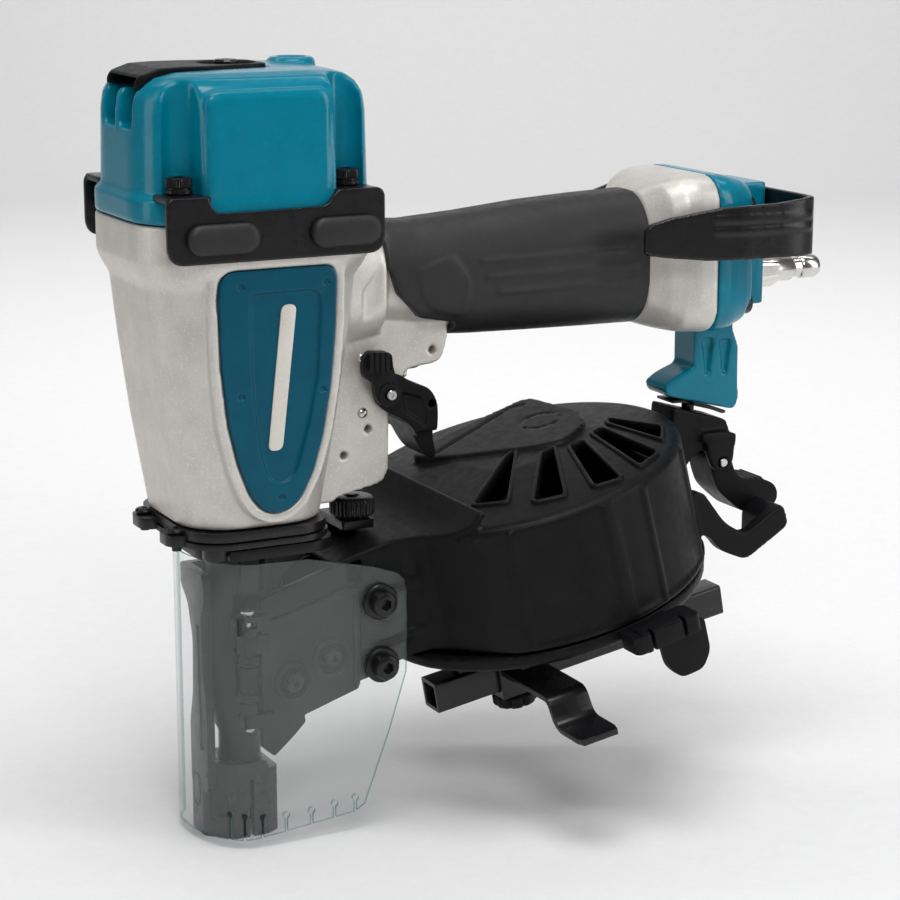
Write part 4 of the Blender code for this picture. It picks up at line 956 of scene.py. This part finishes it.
def magazine_cover():
    inner = COVER_RADIUS - COVER_WALL
    outline = NECK_OUTER + arc(COIL, COVER_RADIUS, 235, 348, 48)
    outline += arc(COIL, inner, 348, 236, 48) + NECK_INNER
    made = prism("cover_moulding", outline, "xy", RIM_W, -2, CANISTER)
    levels = (
        (COVER_RADIUS, -3.2),
        (COVER_RADIUS, -1.4),
        (COVER_RADIUS - 0.7, -0.2),
        (COVER_RADIUS - 2.6, 0.6),
        (40, 2.6), (18, 5),
    )
    rings = [[(x, y, w) for x, y in arc(COIL, r, 226, 510, 96)] for r, w in levels]
    parts = [loft("lid", rings, CANISTER)]
    roof = NECK_OUTER + NECK_FAR
    parts.append(prism("neck_roof", roof, "xy", -8, -5, CANISTER))
    parts.append(eased("plate", PLATE, 6, "xy", 0, 6.3, CANISTER))
    parts.append(eased("loop", LOOP, 3, "xz", -27, -21, steps=4))
    bar = [(196.5, 96.5), (196.5, 87), (205.7, 93.1), (203, 101.3)]
    parts.append(eased("bar", bar, 2, "xz", -26, -9, steps=4))
    for angle, width in ((239.6, 1.6), (271.5, 4.4), (288, 1.6), (318, 2.4)):
        rib = wall_part("rib", COVER_RADIUS + 0.9, COVER_RADIUS - 1, angle, angle + width, RIM_W + 0.6, -2, 3)
        parts.append(rib)
    rim = (RIM_W + 0.25, RIM_W + 2)
    parts.append(wall_part("foot_band", COVER_RADIUS + 0.6, COVER_RADIUS - 1.1, 241.3, 335, *rim, 37))
    for low, high in ((-20.5, -17.5), (-38.5, -35.5)):
        rib = [(-76, -23), (-61.4, -23), (-56, -25.6), (-52, -30.6), (-42, -48), (-52, -28)]
        parts.append(prism("neck_rib", rib + [(-60, -20.4), (-76, -20.4)], "xy", low, high, CANISTER))
    fuse(made, *parts)
    wide = arc(COIL, inner - 3, 230, 506, 72)
    peak = arc(COIL, 14, 230, 506, 72)
    rings = [[(x, y, w) for x, y in ring] for ring, w in ((wide, -8.5), (wide, -3.1), (peak, 2.4))]
    cut(
        made,
        loft("inside", rings, CANISTER),
        block("neck_end", (10, NECK_START_X), (-40, 30), (40, 120)),
        prism("fixed_side", [(36, 5.2), (64, 5.2), (64, 60), (36, 60)], "xy", 40, 107.5),
    )
    for x, z in SHIELD_BOLTS:
        cut(made, rod("hole", 2.5, -22, -16, (x, 0, z), "y", 24))
    above = LID_SLOPE + [(-90, -5.2), (-90, 30), (-37, 30)]
    cut(made, prism("above", above, "xz", -90, 90, CANISTER))
    ramp = prism("ramp", strip(LID_SLOPE, -2.2), "xz", -90, 90, CANISTER)
    fuse(made, combine(ramp, [prism("region", roof, "xy", -14, 8, CANISTER)], "INTERSECT"))
    for vent in VENTS:
        cut(made, eased("vent", grown(vent, 0.5), 2.2, "xy", -6, 12, CANISTER, steps=4))
    ring = rod("ring", 8, 5.2, 8, RING_AT, "z", 48, CANISTER)
    core = rod("core", 6.7, 4.6, 9, RING_AT, "z", 48, CANISTER)
    cut(ring, core)
    arrow = [(-21, 17), (19, 33.6), (24, 31), (24, 32.8), (19.6, 35.4), (-24.5, 18)]
    cut(made, ring, prism("arrow", arrow, "xy", 5.3, 8, CANISTER))
    melted(made, 0.75, 3)
    show(made, "black_plastic", "door", "magazine_cover")
    for number, vent in enumerate(VENTS, 1):
        vent_rim(f"vent_rim_{number}", vent)


LUG = [
    (157, 104), (157, 118), (165.8, 122), (167, 136.8), (190, 130.2), (191.5, 124.5), (186, 122.4),
    (175.5, 117.5), (166, 104),
]


def magazine_base():
    low, high = -52, -46.4
    bridge = [(178, -10.5), (190, -10.5), (190, 10.5), (178, 10.5)]
    made = drum("base_moulding", [(57.2, low), (59, low + 0.8), (60, low + 2.2), (60, high)])
    cut(made, drum("well", [(55.5, -49.6), (55.5, -40)]))
    parts = [
        wall_part("wall", 58, 55, 14, 172, -51, -4.6, 60),
        wall_part("low_wall", 58.1, 55.1, -8, 16, -51, -16, 12),
        prism("far", [(13.4, 49), (13.4, 91), (56, 101.5), (56, 59)], "xz", 6.4, 9),
        prism("floor", [(13.4, 48), (60, 59.6), (60, 63.6), (13.4, 52)], "xz", -11.2, 9),
        drum("hub", [(9, -51), (8.4, -13.6), (7.6, -13)], 48),
        eased("lug", LUG, 1.5, "xz", -8, 8, steps=4),
        turned("feed_cylinder", [(8, 20), (8, 47), (7, 48)], FEED_AT, "x"),
        eased("bridge", bridge, 1.5, "xy", 123, 126.5, steps=4),
    ]
    ear = [(180, 119), (180, 123.5), (193, 125.8), (191, 112.5), (187, 110.8), (183, 112.5)]
    for low_y, high_y in ((-11, -8.4), (8.4, 11)):
        parts.append(eased("ear", ear, 2, "xz", low_y, high_y, steps=4))
    for k in range(7):
        parts.append(wall_part("wall_rib", 59.2, 57, 20 + 24 * k, 21.6 + 24 * k, -48, -5.4, 2))
    for angle in range(0, 360, 45):
        spoke = CANISTER @ Matrix.Translation((*COIL, 0)) @ about(angle + 10, "Z")
        parts.append(block("spoke", (8, 57), (-1.2, 1.2), (-53, -49), spoke))
    fuse(made, *parts)
    cut(
        made,
        rod("feed_bore", 5.3, 14, 42, FEED_AT, "x", 32),
        rod("latch_bore", 1.9, -12, 12, LATCH_AT, "y", 24),
        rod("lug_hole", 2.7, 121, 140, (LUG_BOLT_X, 0, 0), sides=24),
    )
    melted(made, 0.8, 3)
    show(made, "black_plastic", BODY, "magazine_base")


LATCH = [
    (183, 116), (186, 119.2), (190, 118.6), (192.6, 115), (194.4, 109.5), (198.6, 106.6), (206, 106.4),
    (212, 103.6), (213.8, 99), (211.2, 94.6), (204, 93.4), (197.6, 94.6), (191, 100), (186.8, 104),
    (184.6, 110),
]


def latch_lever():
    made = eased("latch_thumb", LATCH, 2.6, "xz", -8, 8, steps=5)
    for k in range(6):
        x = 197.5 + 2.2 * k
        z = 106.8 - 0.1 * k if k < 5 else 105.4 - 0.9 * (k - 4)
        fuse(made, rod("grip_rib", 0.75, -7, 7, (x, 0, z - 0.3), "y", 12))
    cut(made, rod("pin_bore", 1.9, -9, 9, LATCH_AT, "y", 24))
    melted(made, 0.4, 4)
    show(made, "black_plastic", "latch", "latch_lever")


end_cap()
air_plug()
hook()
magazine_cover()
magazine_base()
latch_lever()


# ------------------------------------------------------------------ nose
NOSE_TIP_Z = 12.5
NOSE_TOP_Z = 111
HINGE = (-2.5, -16, 0)
KNUCKLE = 3.3
NOSE_BOLTS = ((-16, -22.5), (16, 22.5))


def nose_flange():
    made = prism("flange_plate", rounded(25.5, 31, 14, (-0.5, 0), 16), "xy", 111.3, 113.2)
    upper = prism("upper", rounded(25, 30.4, 13.6, (-0.5, 0), 16), "xy", 113.8, 116.7)
    neck = prism("neck", rounded(23.6, 29, 12.6, (-0.5, 0), 16), "xy", 112, 115)
    parts = [upper, neck]
    for side in (-1, 1):
        parts.append(prism("ear", rounded(6, 7, 5, (-24.5, side * 13), 10), "xy", 111.3, 115))
    fuse(made, *parts)
    cut(made, rod("driver_way", 7, 110, 118))
    for x, y in NOSE_BOLTS:
        cut(made, rod("hole", 2.8, 110, 118, (x, y, 0), sides=32))
    bevelled(made, 0.45)
    show(made, "black_steel", BODY, "nose_flange")
    for number, (x, y) in enumerate(NOSE_BOLTS, 1):
        bolt = socket_screw(f"nose_screw_{number}", (x, y, 111), "z", -1, (4.2, 4.6), (2.4, 11.8))
        show(bolt, "black_steel", BODY, f"nose_bolt_{number}")
    for side in (-1, 1):
        name, at = f"flange_screw_{(side + 3) // 2}", (-26.5, side * 15, 115.2)
        screw = socket_screw(name, at, "z", 1, (3.2, 1.6), (1.6, 6), 2.4)
        show(screw, "black_steel", BODY)


def nose_body():
    tube = [
        (6.6, NOSE_TIP_Z),
        (6.9, NOSE_TIP_Z + 0.6),
        (7.2, NOSE_TIP_Z + 2),
        (7.2, 39.5), (8.4, 42), (8.6, 45), (10.9, 51), (11, 54), (11, 104.7), (12.4, 106.2), (13.4, 107),
    ]
    made = turned("nose_casting", tube, sides=96)
    parts = [
        prism("back", rounded(10.5, 9.8, 2, (3.4, 1.4), 5), "xy", 52, 108),
        prism("collar", rounded(24, 21.5, 12, (4, -4), 16), "xy", 105.7, 109.2),
        prism("collar_step", rounded(21.5, 19, 10, (4, -4), 16), "xy", 108.8, NOSE_TOP_Z),
        rod("upper_knuckle", KNUCKLE, 63.6, 66.5, HINGE, sides=40),
        rod("lower_knuckle", KNUCKLE, 54.5, 57, HINGE, sides=40),
        rod("knuckle_sleeve", 2.7, 54.5, 66.5, HINGE, sides=32),
        block("web", (-5, 0), (-15.6, -9), (54.7, 66.3)),
        block("front_rib", (-11.2, -9), (-3.2, 3.2), (52, 84)),
        block("side_rib", (-3.2, 3.2), (-12.2, -9), (88, 104)),
        prism("gusset", [(9, 108), (27, 107), (25, 102.5), (13, 94), (9, 80)], "xz", -8.6, -4.6),
    ]
    fuse(made, *parts)
    cut(
        made,
        rod("bore", 5.2, 0, 120, sides=48),
        block("feed_way", (0, 20), (-14, 5), (56, 90)),
        block("loading_way", (-5.1, 1.8), (-14, 0), (70, 90)),
        rod("pin_bore", 2, 50, 70, HINGE, sides=32),
        rod("bolt_room", 4.7, 100, 115, (*NOSE_BOLTS[0], 0), sides=40),
    )
    bevelled(made, 0.35)
    show(made, "black_cast", BODY, "nose_body")


def contact_arm():
    plan = [(-14.3, 9.5), (-14.3, -2), (-6, -10.2), (6, -10.2), (11, -7), (11, 9.5)]
    made = eased("contact_shoe", plan, 1.4, "xy", SOLE_Z, 30, steps=5)
    front = [
        (-6.5, 20), (9, 20), (9, 42), (6, 52), (5, 72), (9, 84), (15.2, 89), (15.2, 96.5), (-5, 96.5),
        (-6.4, 88), (-3, 82), (-3.4, 62), (-5.4, 56), (-6.5, 44),
    ]
    side = [
        (-14.3, 89), (30, 89), (37, 96), (49, 98), (49, 108.9), (37, 108.9), (30, 96.5), (-14.3, 96.5),
    ]
    tab = rounded(6, 10.6, 1.5, (43, 4.6), 5)
    parts = [
        eased("front", front, 2.2, "yz", -14.3, -11.4, steps=5),
        eased("bead", [(-2, 34), (4.6, 34), (2.6, 78), (-0.6, 78)], 1.2, "yz", -14.8, -14, steps=4),
        eased("side", side, 1, "xz", 12.5, 15.2, steps=4),
        prism("tab", tab, "xy", 106, 108.9),
        turned("stud", [(2.4, 106), (2.4, 116.6), (1.9, 117.2)], DIAL_AT, sides=32),
    ]
    fuse(made, *parts)
    cut(
        made,
        rod("nose_bore", 7.6, -5, 60, sides=64),
        prism("shoulder", [(5, 32), (13, 32), (13, 25), (11, 26.5), (6.5, 27.2)], "xz", -14, 12),
        block("sight_slot", (-0.8, 0.8), (-12, -6), (0, 24)),
    )
    ovals = (
        Matrix.Translation((-14.3, 4, 18.5)) @ about(-90, "Y"),
        Matrix.Translation((-10.15, -6.1, 14.5)) @ about(225, "Z") @ about(90, "Y"),
    )
    for at in ovals:
        ring = prism("ring", rounded(6.2, 3.4, 3.3, steps=10), "xy", -0.5, 1.5, at)
        cut(ring, prism("core", rounded(5.4, 2.6, 2.5, steps=10), "xy", -2, 3, at))
        cut(made, ring)
    bevelled(made, 0.3)
    show(made, "black_steel", "contact_element", "contact_arm")


def depth_dial():
    teeth = 30
    levels = (
        (109.5, 6.2, 0), (110.2, 7.2, 0), (110.6, 7.6, 0.3), (111.4, 7.8, 0.5), (115, 7.8, 0.5),
        (115.8, 7.5, 0.3), (116.4, 6.6, 0), (116.6, 5.8, 0),
    )
    made = toothed("depth_wheel", levels, 4 * teeth, lambda k: k % 4 in (0, 1), DIAL_AT)
    cut(made, rod("bore", 2.7, 108, 118, DIAL_AT, sides=32))
    crease(made, 32)
    show(made, "black_steel", "dial", "depth_dial")


DOOR_SCREWS = (("front", 13, 59), ("rear", 27, 65.5))


def nose_door():
    outline = [
        (2, 52), (2, 79), (37.5, 87.5), (37.5, 53), (17, 46.5), (17.6, 44.2), (13, 39.6), (6, 33.6),
        (2, 37),
    ]
    made = eased("door_plate", outline, 0.9, "xz", -16.8, -13.4, steps=4)
    parts = [
        prism("channel", [(2, 79.6), (2, 88.5), (34, 98), (34, 89.2)], "xz", -15.8, -12.4),
        prism("channel_lip", [(1, 78.4), (1, 80.4), (36, 89.4), (36, 87.2)], "xz", -18, -13),
        prism("side", [(34, 54.5), (50.5, 58.5), (50.5, 92), (34, 90)], "xz", -16.6, -13.6),
        prism("seam", [(35.4, 54), (37.6, 54.5), (37.6, 89), (35.4, 88.6)], "xz", -17.5, -15),
        rod("upper_barrel", KNUCKLE, 67, 70.2, HINGE, sides=40),
        rod("upper_sleeve", 2.8, 67, 84, HINGE, sides=32),
        rod("hex", 4, 71.4, 76.8, HINGE, sides=6),
        rod("upper_end", KNUCKLE, 82.6, 84, HINGE, sides=40),
        block("upper_strap", (-4, 4), (-18.6, -14.2), (71, 77.2)),
        eased("frame", [(-7.6, 78.4), (3.6, 79.4), (3.6, 84), (-7.6, 84)], 0.6, "xz", -19.4, -18, steps=3),
        block("frame_side", (-7.6, -6.2), (-19.4, -13), (78.4, 84)),
        block("frame_top", (-7.4, 4), (-19, -13.8), (82.8, 84)),
        rod("lower_barrel", KNUCKLE, 50.6, 54, HINGE, sides=40),
        rod("lower_sleeve", 2.8, 45.5, 54, HINGE, sides=32),
        block("lower_strap", (-5.6, 5.6), (-19.4, -13.9), (45.5, 49.8)),
    ]
    for _, x, z in DOOR_SCREWS:
        parts.append(turned("dish", [(6, -17.9), (6.6, -17.5), (7, -16.4)], (x, 0, z), "y", 64))
    fuse(made, *parts)
    cutters = [rod("pin_bore", 2, 40, 90, HINGE, sides=32)]
    window = [(-6, 79.8), (-0.6, 80.2), (-0.6, 82.4), (-6, 82.4)]
    cutters.append(eased("window", window, 0.5, "xz", -20, -17.6, steps=3))
    for _, x, z in DOOR_SCREWS:
        bowl = [(5.6, -19), (5.5, -17.8), (4.6, -16.6), (3.6, -16.2)]
        cutters.append(turned("bowl", bowl, (x, 0, z), "y", 64))
        cutters.append(rod("hole", 1.7, -20, -13, (x, 0, z), "y", 24))
    for x, z in SHIELD_BOLTS:
        cutters.append(rod("hole", 2.4, -20, -13, (x, 0, z), "y", 32))
    cut(made, *cutters)
    bevelled(made, 0.3)
    show(made, "black_cast", "door", "nose_door")
    for word, x, z in DOOR_SCREWS:
        screw = socket_screw(f"dish_screw_{word}", (x, -17, z), "y", -1, (3.2, 2.2), (1.4, 2.4), 2.6)
        show(screw, "black_steel", "door", f"door_screw_{word}")


def hinge_pin():
    profile = [(1.3, 43.6), (1.7, 44.4), (1.7, 85), (2.6, 85.1), (2.6, 85.9), (2.1, 86.4)]
    pin = turned("hinge_rod", profile, HINGE, sides=40)
    crease(pin, 35)
    show(pin, "bright_steel", BODY, "door_hinge_pin")


# ------------------------------------------------------------------ clear shield
SHIELD_PLAN = [
    (53.5, -21.2), (30, -21.2), (4, -21.2), (-5, -20.4), (-12, -15), (-16.8, -6), (-18.6, 4), (-18, 12),
    (-14, 18),
]
SHIELD_THICK = 1
SHIELD_TOP = [(-30, 103.5), (17, 102.2), (40, 96.8), (50, 93.4), (53, 90.4), (53.6, 86)]
SHIELD_REAR = [(53.6, 86), (53.4, 58), (47, 38), (37.4, 12.6), (33.6, 10.4), (-6, 6.4), (-30, 6.6)]
SLOT_STEPS = (9.9, 19.8, 28.6, 37, 46.6, 55, 61.5, 66.5)
SLOT_TALL = (12.8, 11.4, 10.6, 9.6, 9.6, 10.4, 11, 11.4)


def flowing(path, step):
    """Points a step apart along a smooth line through a path."""
    fine = []
    ends = [path[0]] + path + [path[-1]]
    for a, b, c, d in zip(ends, ends[1:], ends[2:], ends[3:]):
        a, b, c, d = (Vector(p) for p in (a, b, c, d))
        for k in range(40):
            t = k / 40
            square, cube = 2 * a - 5 * b + 4 * c - d, 3 * b - a - 3 * c + d
            fine.append(0.5 * (2 * b + (c - a) * t + square * t * t + cube * t ** 3))
    fine.append(Vector(path[-1]))
    kept, gone = [fine[0]], 0
    for a, b in zip(fine, fine[1:]):
        gone += (b - a).length
        if gone >= step:
            kept.append(b)
            gone = 0
    return [tuple(p) for p in kept]


def shield():
    line = flowing(SHIELD_PLAN, 1.2)
    rear_first = line[::-1]
    made = prism("clear_sheet", strip(rear_first, SHIELD_THICK), "xy", 6, 104)
    outside = [(-30, 0), (-30, 6.6)] + SHIELD_REAR[::-1][1:] + SHIELD_TOP[::-1][1:]
    outside += [(-30, 120), (80, 120), (80, 0)]
    cut(made, prism("trim", outside, "xz", -40, 40))
    gone = 0
    wanted = list(zip(SLOT_STEPS, SLOT_TALL))
    for a, b in zip(line, line[1:]):
        step = math.hypot(b[0] - a[0], b[1] - a[1])
        gone += step
        while wanted and gone >= wanted[0][0]:
            _, tall = wanted.pop(0)
            heading = math.atan2(a[1] - b[1], a[0] - b[0])
            at = Matrix.Translation((a[0], a[1], 0)) @ Matrix.Rotation(heading, 4, "Z")
            key = [(-0.45, -2), (0.45, -2), (0.45, tall - 1.6)]
            turns = [math.radians(-60 + 300 * k / 14) for k in range(15)]
            key += [(1.2 * math.cos(t), tall + 1.2 * math.sin(t)) for t in turns]
            key.append((-0.45, tall - 1.6))
            cut(made, prism("slot", key, "xz", -4, 4, at @ Matrix.Translation((0, 0, 4))))
    for x, z in SHIELD_BOLTS:
        cut(made, rod("hole", 2.6, -25, -16, (x, 0, z), "y", 32))
    made.data.materials.clear()
    made.data.materials.append(LOOKS["clear_shield"])
    made.data.materials.append(EDGE_LOOK)
    back = TOOL.inverted()
    for face in made.data.polygons:
        middle = back @ face.center
        x, y = middle.x / MM, middle.y / MM
        k = min(range(1, len(line)), key=lambda n: math.hypot(line[n][0] - x, line[n][1] - y))
        along = Vector((line[k][0] - line[k - 1][0], line[k][1] - line[k - 1][1], 0)).normalized()
        across = Vector((along.y, -along.x, 0))
        face.material_index = 0 if abs(face.normal.dot(across)) > 0.7 else 1
    crease(made, 30)
    made.data.name = made.name
    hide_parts("shield")
    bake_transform(made)
    for number, (x, z) in enumerate(SHIELD_BOLTS, 1):
        head = [
            (2.1, -14.2), (2.1, -21.4), (5.8, -21.5), (6.2, -21.9), (6.2, -22.6), (5.8, -23), (4.4, -23.1),
            (4.4, -26), (4.1, -26.7), (3.6, -27),
        ]
        bolt = turned(f"shield_screw_{number}", head[::-1], (x, 0, z), "y", 48)
        cut(bolt, rod("socket", 2.1, -28, -24.6, (x, 0, z), "y", 6))
        crease(bolt, 35)
        show(bolt, "black_steel", "door", f"shield_bolt_{number}")


nose_flange()
nose_body()
contact_arm()
depth_dial()
nose_door()
hinge_pin()
shield()


# ------------------------------------------------------------------ trigger group
TRIGGER = [
    (47, 157), (50.6, 158.6), (55, 160.2), (60.3, 156.6), (67.1, 154), (69.9, 149.5), (70.4, 144.3),
    (69.6, 136.5), (71.2, 129.2), (69, 128.4), (66.4, 130.6), (63.4, 135), (60.5, 141.4), (55.8, 144.7),
    (50, 147.6), (46.8, 151),
]
LEVER = [
    (42.6, 169.2), (50.4, 168.3), (53.6, 157.6), (54.6, 154), (52.9, 150.7), (47.9, 149.9), (45.4, 153),
    (44.6, 158.4), (41, 160.4), (40.6, 165),
]


def trigger():
    made = eased("trigger_bow", TRIGGER, 2.4, "xz", -12.2, 12.2, steps=5)
    slot = [(40, 170), (60, 170), (60, 140), (40, 140)]
    narrow = [(62.5, 139), (80, 139), (80, 120), (62.5, 120)]
    cut(
        made,
        prism("slot", slot, "xz", -9.4, 9.4),
        prism("narrow_near", narrow, "xz", -20, -9),
        prism("narrow_far", narrow, "xz", 9, 20),
    )
    for side in (-1, 1):
        panel = [(56.5, 153.5), (64, 151), (66, 146), (65.4, 140.5), (62.8, 143.2), (57.5, 147)]
        cut(made, flank("panel", softened(panel, 1.2, 4), side, 11.4, 14))
    cut(
        made,
        rod("pin_bore", 2.1, -14, 14, PIVOT, "y", 32),
        rod("side_hole", 1.4, -14, 14, (68, 0, 148.4), "y", 24),
    )
    melted(made, 0.35, 4)
    show(made, "black_plastic", "trigger_lever", "trigger")

    lever = eased("mode_arm", LEVER, 1.6, "xz", -15, -12.6, steps=5)
    fuse(
        lever,
        turned("eye", [(4, -15.5), (4.2, -15), (4.2, -12.6)], PIVOT, "y", 48),
        eased("tab", [(42, 162.4), (50.6, 162.4), (50, 168.6), (42.6, 169.2)], 1.4, "xz", -18, -13, steps=4),
    )
    cut(lever, rod("pin_bore", 2.1, -20, -10, PIVOT, "y", 32))
    for x in (43.6, 45.6, 47.6, 49.6):
        cut(lever, block("grip_line", (x - 0.35, x + 0.35), (-18.6, -17.5), (161, 170)))
    bevelled(lever, 0.35)
    show(lever, "black_plastic", "mode_selector", "mode_lever")

    profile = [(1.5, -17.2), (1.8, -16.8), (1.8, -12), (1.8, 13), (1.5, 13.4)]
    pin = turned("pivot_pin", profile, PIVOT, "y", 40)
    cut(pin, turned("dimple", [(0.9, -18), (0.6, -16.6)], PIVOT, "y", 24))
    crease(pin, 35)
    show(pin, "bright_steel", BODY, "trigger_pin")


# ------------------------------------------------------------------ shingle gauge
RAIL = Matrix.Translation((66, -14, 45.3)) @ about(-10, "Y")
RAIL_LENGTH, RAIL_SIZE, RAIL_WALL = 118, 11, 1.5
GUIDE_AT = 24


def square_tube(name, half, radius, low, high):
    outline = rounded(half, half, radius, steps=6)
    rings = [[(x, y, z) for y, z in outline] for x in (low, high)]
    return loft(name, rings, RAIL)


def shingle_gauge():
    half = RAIL_SIZE / 2
    made = square_tube("gauge_rail", half, 1, 0, RAIL_LENGTH)
    for a, low, high in ((76, 49, 60.2), (150, 62, 78.6)):
        fuse(made, prism("post", [(a, low), (a + 8, low), (a + 8, high + 2), (a, high)], "xz", -18, -10))
    cut(made, square_tube("bore", half - RAIL_WALL, 0.4, -1, RAIL_LENGTH + 1))
    bevelled(made, 0.3)
    show(made, "black_steel", BODY, "shingle_rail")

    half += 0.3
    ends = (GUIDE_AT, GUIDE_AT + 16)
    guide = block("gauge_stop", ends, (-half - 2, half + 2), (-half - 2, half - 0.8), RAIL)
    cut(guide, block("seat", (GUIDE_AT - 1, GUIDE_AT + 17), (-half, half), (-half, half + 3), RAIL))
    line = [(-half - 0.8, 3.6), (-41.8, 3.6), (-45.2, -5.6), (-62, -5.6)]
    plate = strip(bent(line, 6, 3.5), 2.2)
    fuse(guide, prism("plate", plate, "yz", GUIDE_AT + 0.5, GUIDE_AT + 15.5, RAIL))
    corner = [(GUIDE_AT - 1, -70), (GUIDE_AT + 3.5, -70), (GUIDE_AT + 0.5, -58.5), (GUIDE_AT - 1, -58.5)]
    other = [(2 * GUIDE_AT + 16 - x, y) for x, y in corner[::-1]]
    spot = (GUIDE_AT + 8, 0, 0)
    cut(
        guide,
        prism("corner", corner, "xy", -16, -2, RAIL),
        prism("other_corner", other, "xy", -16, -2, RAIL),
        rod("hole", 2.4, -20, 0, spot, sides=32, frame_at=RAIL),
    )
    bevelled(guide, 0.45)
    show(guide, "black_steel", "guide", "shingle_guide")

    under = -half - 2
    lobes = 8
    levels = (
        (under - 5.5, 6.6, 0.6), (under - 5, 7.5, 1.2), (under - 4.2, 8, 1.5),
        (under - 1.4, 8, 1.5), (under - 0.7, 7.4, 1.2), (under - 0.3, 6.4, 0.4),
    )

    def bite(k):
        return max(0, math.cos(lobes * (2 * math.pi * k / (12 * lobes)))) ** 2

    knob = toothed("gauge_knob", levels, 12 * lobes, bite, spot, RAIL)
    fuse(knob, rod("shank", 2.1, under - 1, under + 2, spot, sides=32, frame_at=RAIL))
    cut(knob, turned("dish", [(4.4, under - 7), (3.8, under - 4.6)], spot, sides=48, frame_at=RAIL))
    bevelled(knob, 0.2)
    show(knob, "black_plastic", "guide_knob", "guide_thumb_screw")


# ------------------------------------------------------------------ clips and last fasteners
def clips():
    clip = prism("rim_clip", rounded(13, 6, 2.5, (6.4, -70.5), 6), "xy", -52.4, -46.4, CANISTER)
    tab = [(6, -51), (24, -51), (24, -64), (20, -69.5), (11, -69.5), (7, -64)]
    fuse(
        clip,
        eased("tab", tab, 2.6, "xz", -70, -66.5, CANISTER, steps=5),
        prism("buckle", rounded(9.5, 3.8, 1.6, (6.4, -72), 6), "xy", -53, -45.8, CANISTER),
        block("tongue", (1.4, 11.4), (-76.4, -70), (-51, -47.8), CANISTER),
    )
    cut(
        clip,
        drum("ring", [(60.4, -60), (60.9, -40)]),
        block("slit_low", (-0.6, 0.8), (-80, -72.5), (-60, -40), CANISTER),
        block("slit_high", (12, 13.4), (-80, -72.5), (-60, -40), CANISTER),
    )
    bevelled(clip, 0.5)
    show(clip, "black_plastic", BODY, "floor_clip")

    slope = Matrix.Translation((178, 0, 134.1)) @ about(15.8, "Y")
    path = [(-10.5, 0.8), (-6, 1.9), (6, 1.9), (9, 1.3), (10.5, 1.9)]
    spring = prism("lug_spring", strip(bent(path, 4, 1), 1), "xz", -9, 9, slope)
    cut(
        spring,
        rod("hole", 3.2, -5, 5, (0, 0, 0), sides=32, frame_at=slope),
        block("notch_near", (-12, -4), (-10, -5.5), (-4, 5), slope),
        block("notch_far", (-12, -4), (5.5, 10), (-4, 5), slope),
    )
    bevelled(spring, 0.15, 2)
    show(spring, "black_steel", BODY, "lug_clip", slot="bright_steel")

    bolt = socket_screw("lug_screw", (LUG_BOLT_X, 0, 141), "z", 1, (2.4, 2), (2.3, 17.5), 2)
    show(bolt, "black_steel", BODY, "lug_bolt")
    pin = turned("latch_rod", [(1.3, -11.6), (1.6, -11.3), (1.6, 11.3), (1.3, 11.6)], LATCH_AT, "y", 40)
    crease(pin, 35)
    show(pin, "bright_steel", BODY, "latch_pin")


def cap_screws():
    knurls = 36
    levels = (
        (-21, 2.4, 0), (-0.2, 2.4, 0), (-0.1, 3.9, 0), (0.3, 4.2, 0), (1.2, 4.2, 0), (1.5, 3.7, 0),
        (1.9, 3.7, 0), (2.2, 4.2, 0.25), (4.3, 4.2, 0.25), (4.8, 4, 0), (5.1, 3.5, 0),
    )
    spots = [(x, y) for x in (-BOLT_X, BOLT_X) for y in (-BOLT_Y, BOLT_Y)]
    for number, (x, y) in enumerate(spots, 1):
        screw = toothed(f"cap_screw_{number}", levels, 2 * knurls, lambda k: k % 2, (x, y, 227.3))
        cut(screw, rod("socket", 2, 230, 234, (x, y, 0), "z", 6))
        crease(screw, 32)
        show(screw, "black_steel", BODY, f"cap_bolt_{number}")


trigger()
shingle_gauge()
clips()
cap_screws()


rest = [name for name in frame["nodes"] if not frame["nodes"][name].hide_render]
SLOT_OF = {p["node"]: p.get("material_slot") for p in frame["record"]["subparts"]}
for name in rest:
    node = frame["nodes"][name]
    look = LOOKS.get(SLOT_OF.get(name), LOOKS["black_plastic"])
    for index in range(len(node.material_slots)):
        node.material_slots[index].material = look
